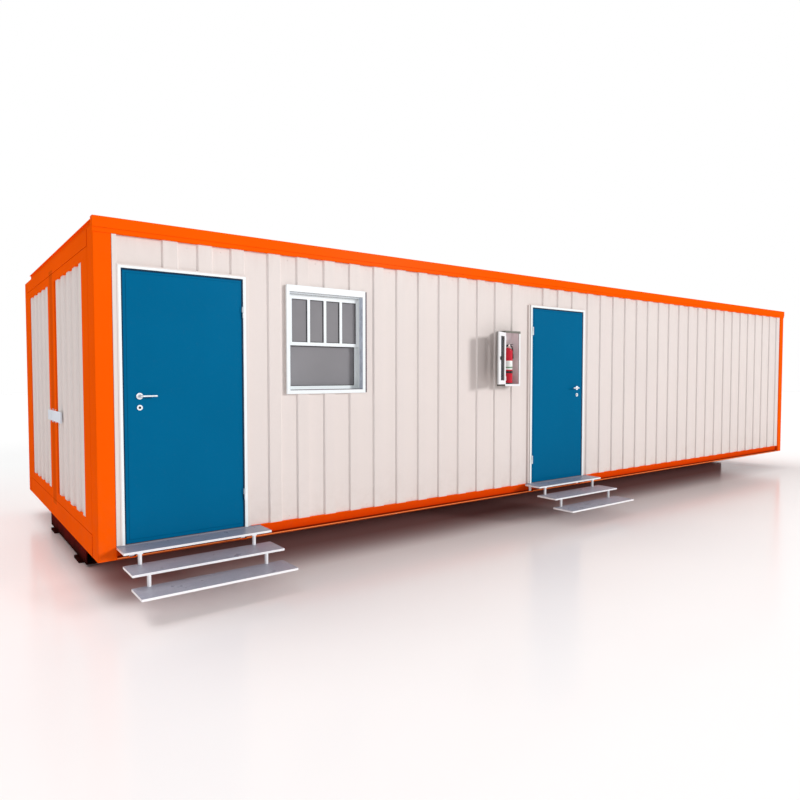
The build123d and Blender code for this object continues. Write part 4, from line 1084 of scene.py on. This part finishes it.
def skirting():
    """Skirting boards along the walls, stopped at the doorways."""
    shape = Shape()
    gauge, shortest = 14, 40
    z = (RAIL_TOP, RAIL_TOP + 80)
    room = (POST_FACE + 1, LENGTH - POST_FACE - 1)
    stops = [room[0]]
    for left, right in DOORS.values():
        stops += [left - 4, right + 4]
    stops.append(room[1])
    for low, high in zip(stops[::2], stops[1::2]):
        if high - low > shortest:
            shape.box((low, high), (WALL_INNER, WALL_INNER + gauge), z)
    shape.box(room, (WIDTH - WALL_INNER - gauge, WIDTH - WALL_INNER), z)
    end = LENGTH - WALL_INNER
    shape.box((end - gauge, end), (POST_SIDE, WIDTH - POST_SIDE), z)
    shape.piece("skirting_boards", "cabin", "lining_board", lining, 3.0)


skirting()


# Stage, lights and camera

# The sky's strength as a light
SKY = 0.5

# The camera's place in cabin coordinates, its turns in degrees and its lens in millimetres
EYE = (-1040.4, -5283, 1760.3)
YAW = 53.0
PITCH = -2.238
LENS = 28.34
SENSOR = 36.0


def stage_floor():
    """A pale, slightly glossy floor that fades to white, with painted reddish shade under the
    cabin.
    """
    mesh = bpy.data.meshes.new("studio_floor")
    reach = 60.0
    corners = [(-reach, -reach, 0), (reach, -reach, 0), (reach, reach, 0), (-reach, reach, 0)]
    mesh.from_pydata(corners, [], [(0, 1, 2, 3)])
    floor = bpy.data.objects.new("studio_floor", mesh)
    bpy.context.scene.collection.objects.link(floor)
    g = Graph("studio_floor")
    tone = g.mix(g.remap(g.noise(0.6), 0.3, 0.7), rgb(253, 246, 245), rgb(255, 248, 247))
    # Distances from the cabin's middle, in metres
    from_middle_x = g.math("ABSOLUTE", g.axis("X"))
    from_middle_y = g.math("ABSOLUTE", g.math("SUBTRACT", g.axis("Y"), 0.36))
    away = g.math("MAXIMUM", g.remap(from_middle_x, 6.6, 11.0), g.remap(from_middle_y, 3.4, 7.0))
    tone = g.mix(away, tone, rgb(255, 255, 255))
    # Painted shade: the floor is darkened to a reddish tone under the cabin's footprint.
    shade_under_x = g.remap(from_middle_x, 5.7, 6.15, 1.0, 0.0)
    shade_under_y = g.remap(from_middle_y, 1.5, 2.25, 1.0, 0.0)
    tone = g.mix(g.times(shade_under_x, shade_under_y, 0.75), tone, rgb(176, 94, 84))
    shader = g.node("BsdfPrincipled", Base_Color=tone, Roughness=0.17)
    shader.inputs["Specular IOR Level"].default_value = 0.14
    mesh.materials.append(g.finish(shader.outputs[0]))


def sun(name, direction, strength, spread):
    """A soft distant lamp."""
    data = bpy.data.lights.new(name, "SUN")
    data.energy = strength
    data.angle = math.radians(spread)
    lamp = bpy.data.objects.new(name, data)
    bpy.context.scene.collection.objects.link(lamp)
    lamp.rotation_mode = "QUATERNION"
    lamp.rotation_quaternion = Vector(direction).to_track_quat("-Z", "Y")


def world():
    """An even sky: full white to the camera, in reflections and through glass."""
    sky = bpy.data.worlds.new("studio_world")
    sky.use_nodes = True
    bpy.context.scene.world = sky
    tree = sky.node_tree
    tree.nodes.clear()

    def larger(a, b):
        made = tree.nodes.new("ShaderNodeMath")
        made.operation = "MAXIMUM"
        tree.links.new(a, made.inputs[0])
        tree.links.new(b, made.inputs[1])
        return made.outputs[0]

    def white(strength):
        made = tree.nodes.new("ShaderNodeBackground")
        made.inputs["Color"].default_value = (1.0, 1.0, 1.0, 1.0)
        made.inputs["Strength"].default_value = strength
        return made.outputs[0]

    rays = tree.nodes.new("ShaderNodeLightPath").outputs
    shiny = larger(rays["Is Glossy Ray"], rays["Is Transmission Ray"])
    seen = larger(rays["Is Camera Ray"], shiny)
    mix = tree.nodes.new("ShaderNodeMixShader")
    out = tree.nodes.new("ShaderNodeOutputWorld")
    tree.links.new(seen, mix.inputs[0])
    tree.links.new(white(SKY), mix.inputs[1])
    tree.links.new(white(1.0), mix.inputs[2])
    tree.links.new(mix.outputs[0], out.inputs["Surface"])


def camera():
    """The photograph's viewpoint."""
    data = bpy.data.cameras.new("photo_camera")
    data.lens = LENS
    data.sensor_width = SENSOR
    data.clip_end = 300.0
    eye = bpy.data.objects.new("photo_camera", data)
    bpy.context.scene.collection.objects.link(eye)
    eye.location = at(*EYE)
    yaw, pitch = math.radians(YAW), math.radians(PITCH)
    level = math.cos(pitch)
    look = Vector((math.cos(yaw) * level, math.sin(yaw) * level, math.sin(pitch)))
    eye.rotation_mode = "QUATERNION"
    eye.rotation_quaternion = look.to_track_quat("-Z", "Y")
    bpy.context.scene.camera = eye


stage_floor()
world()
sun("key_sun", (-0.58, 0.79, -0.23), 1.62, 12.0)
sun("back_sun", (0.25, -0.43, -0.866), 1.45, 40.0)
camera()
bpy.context.scene.view_settings.view_transform = "Standard"
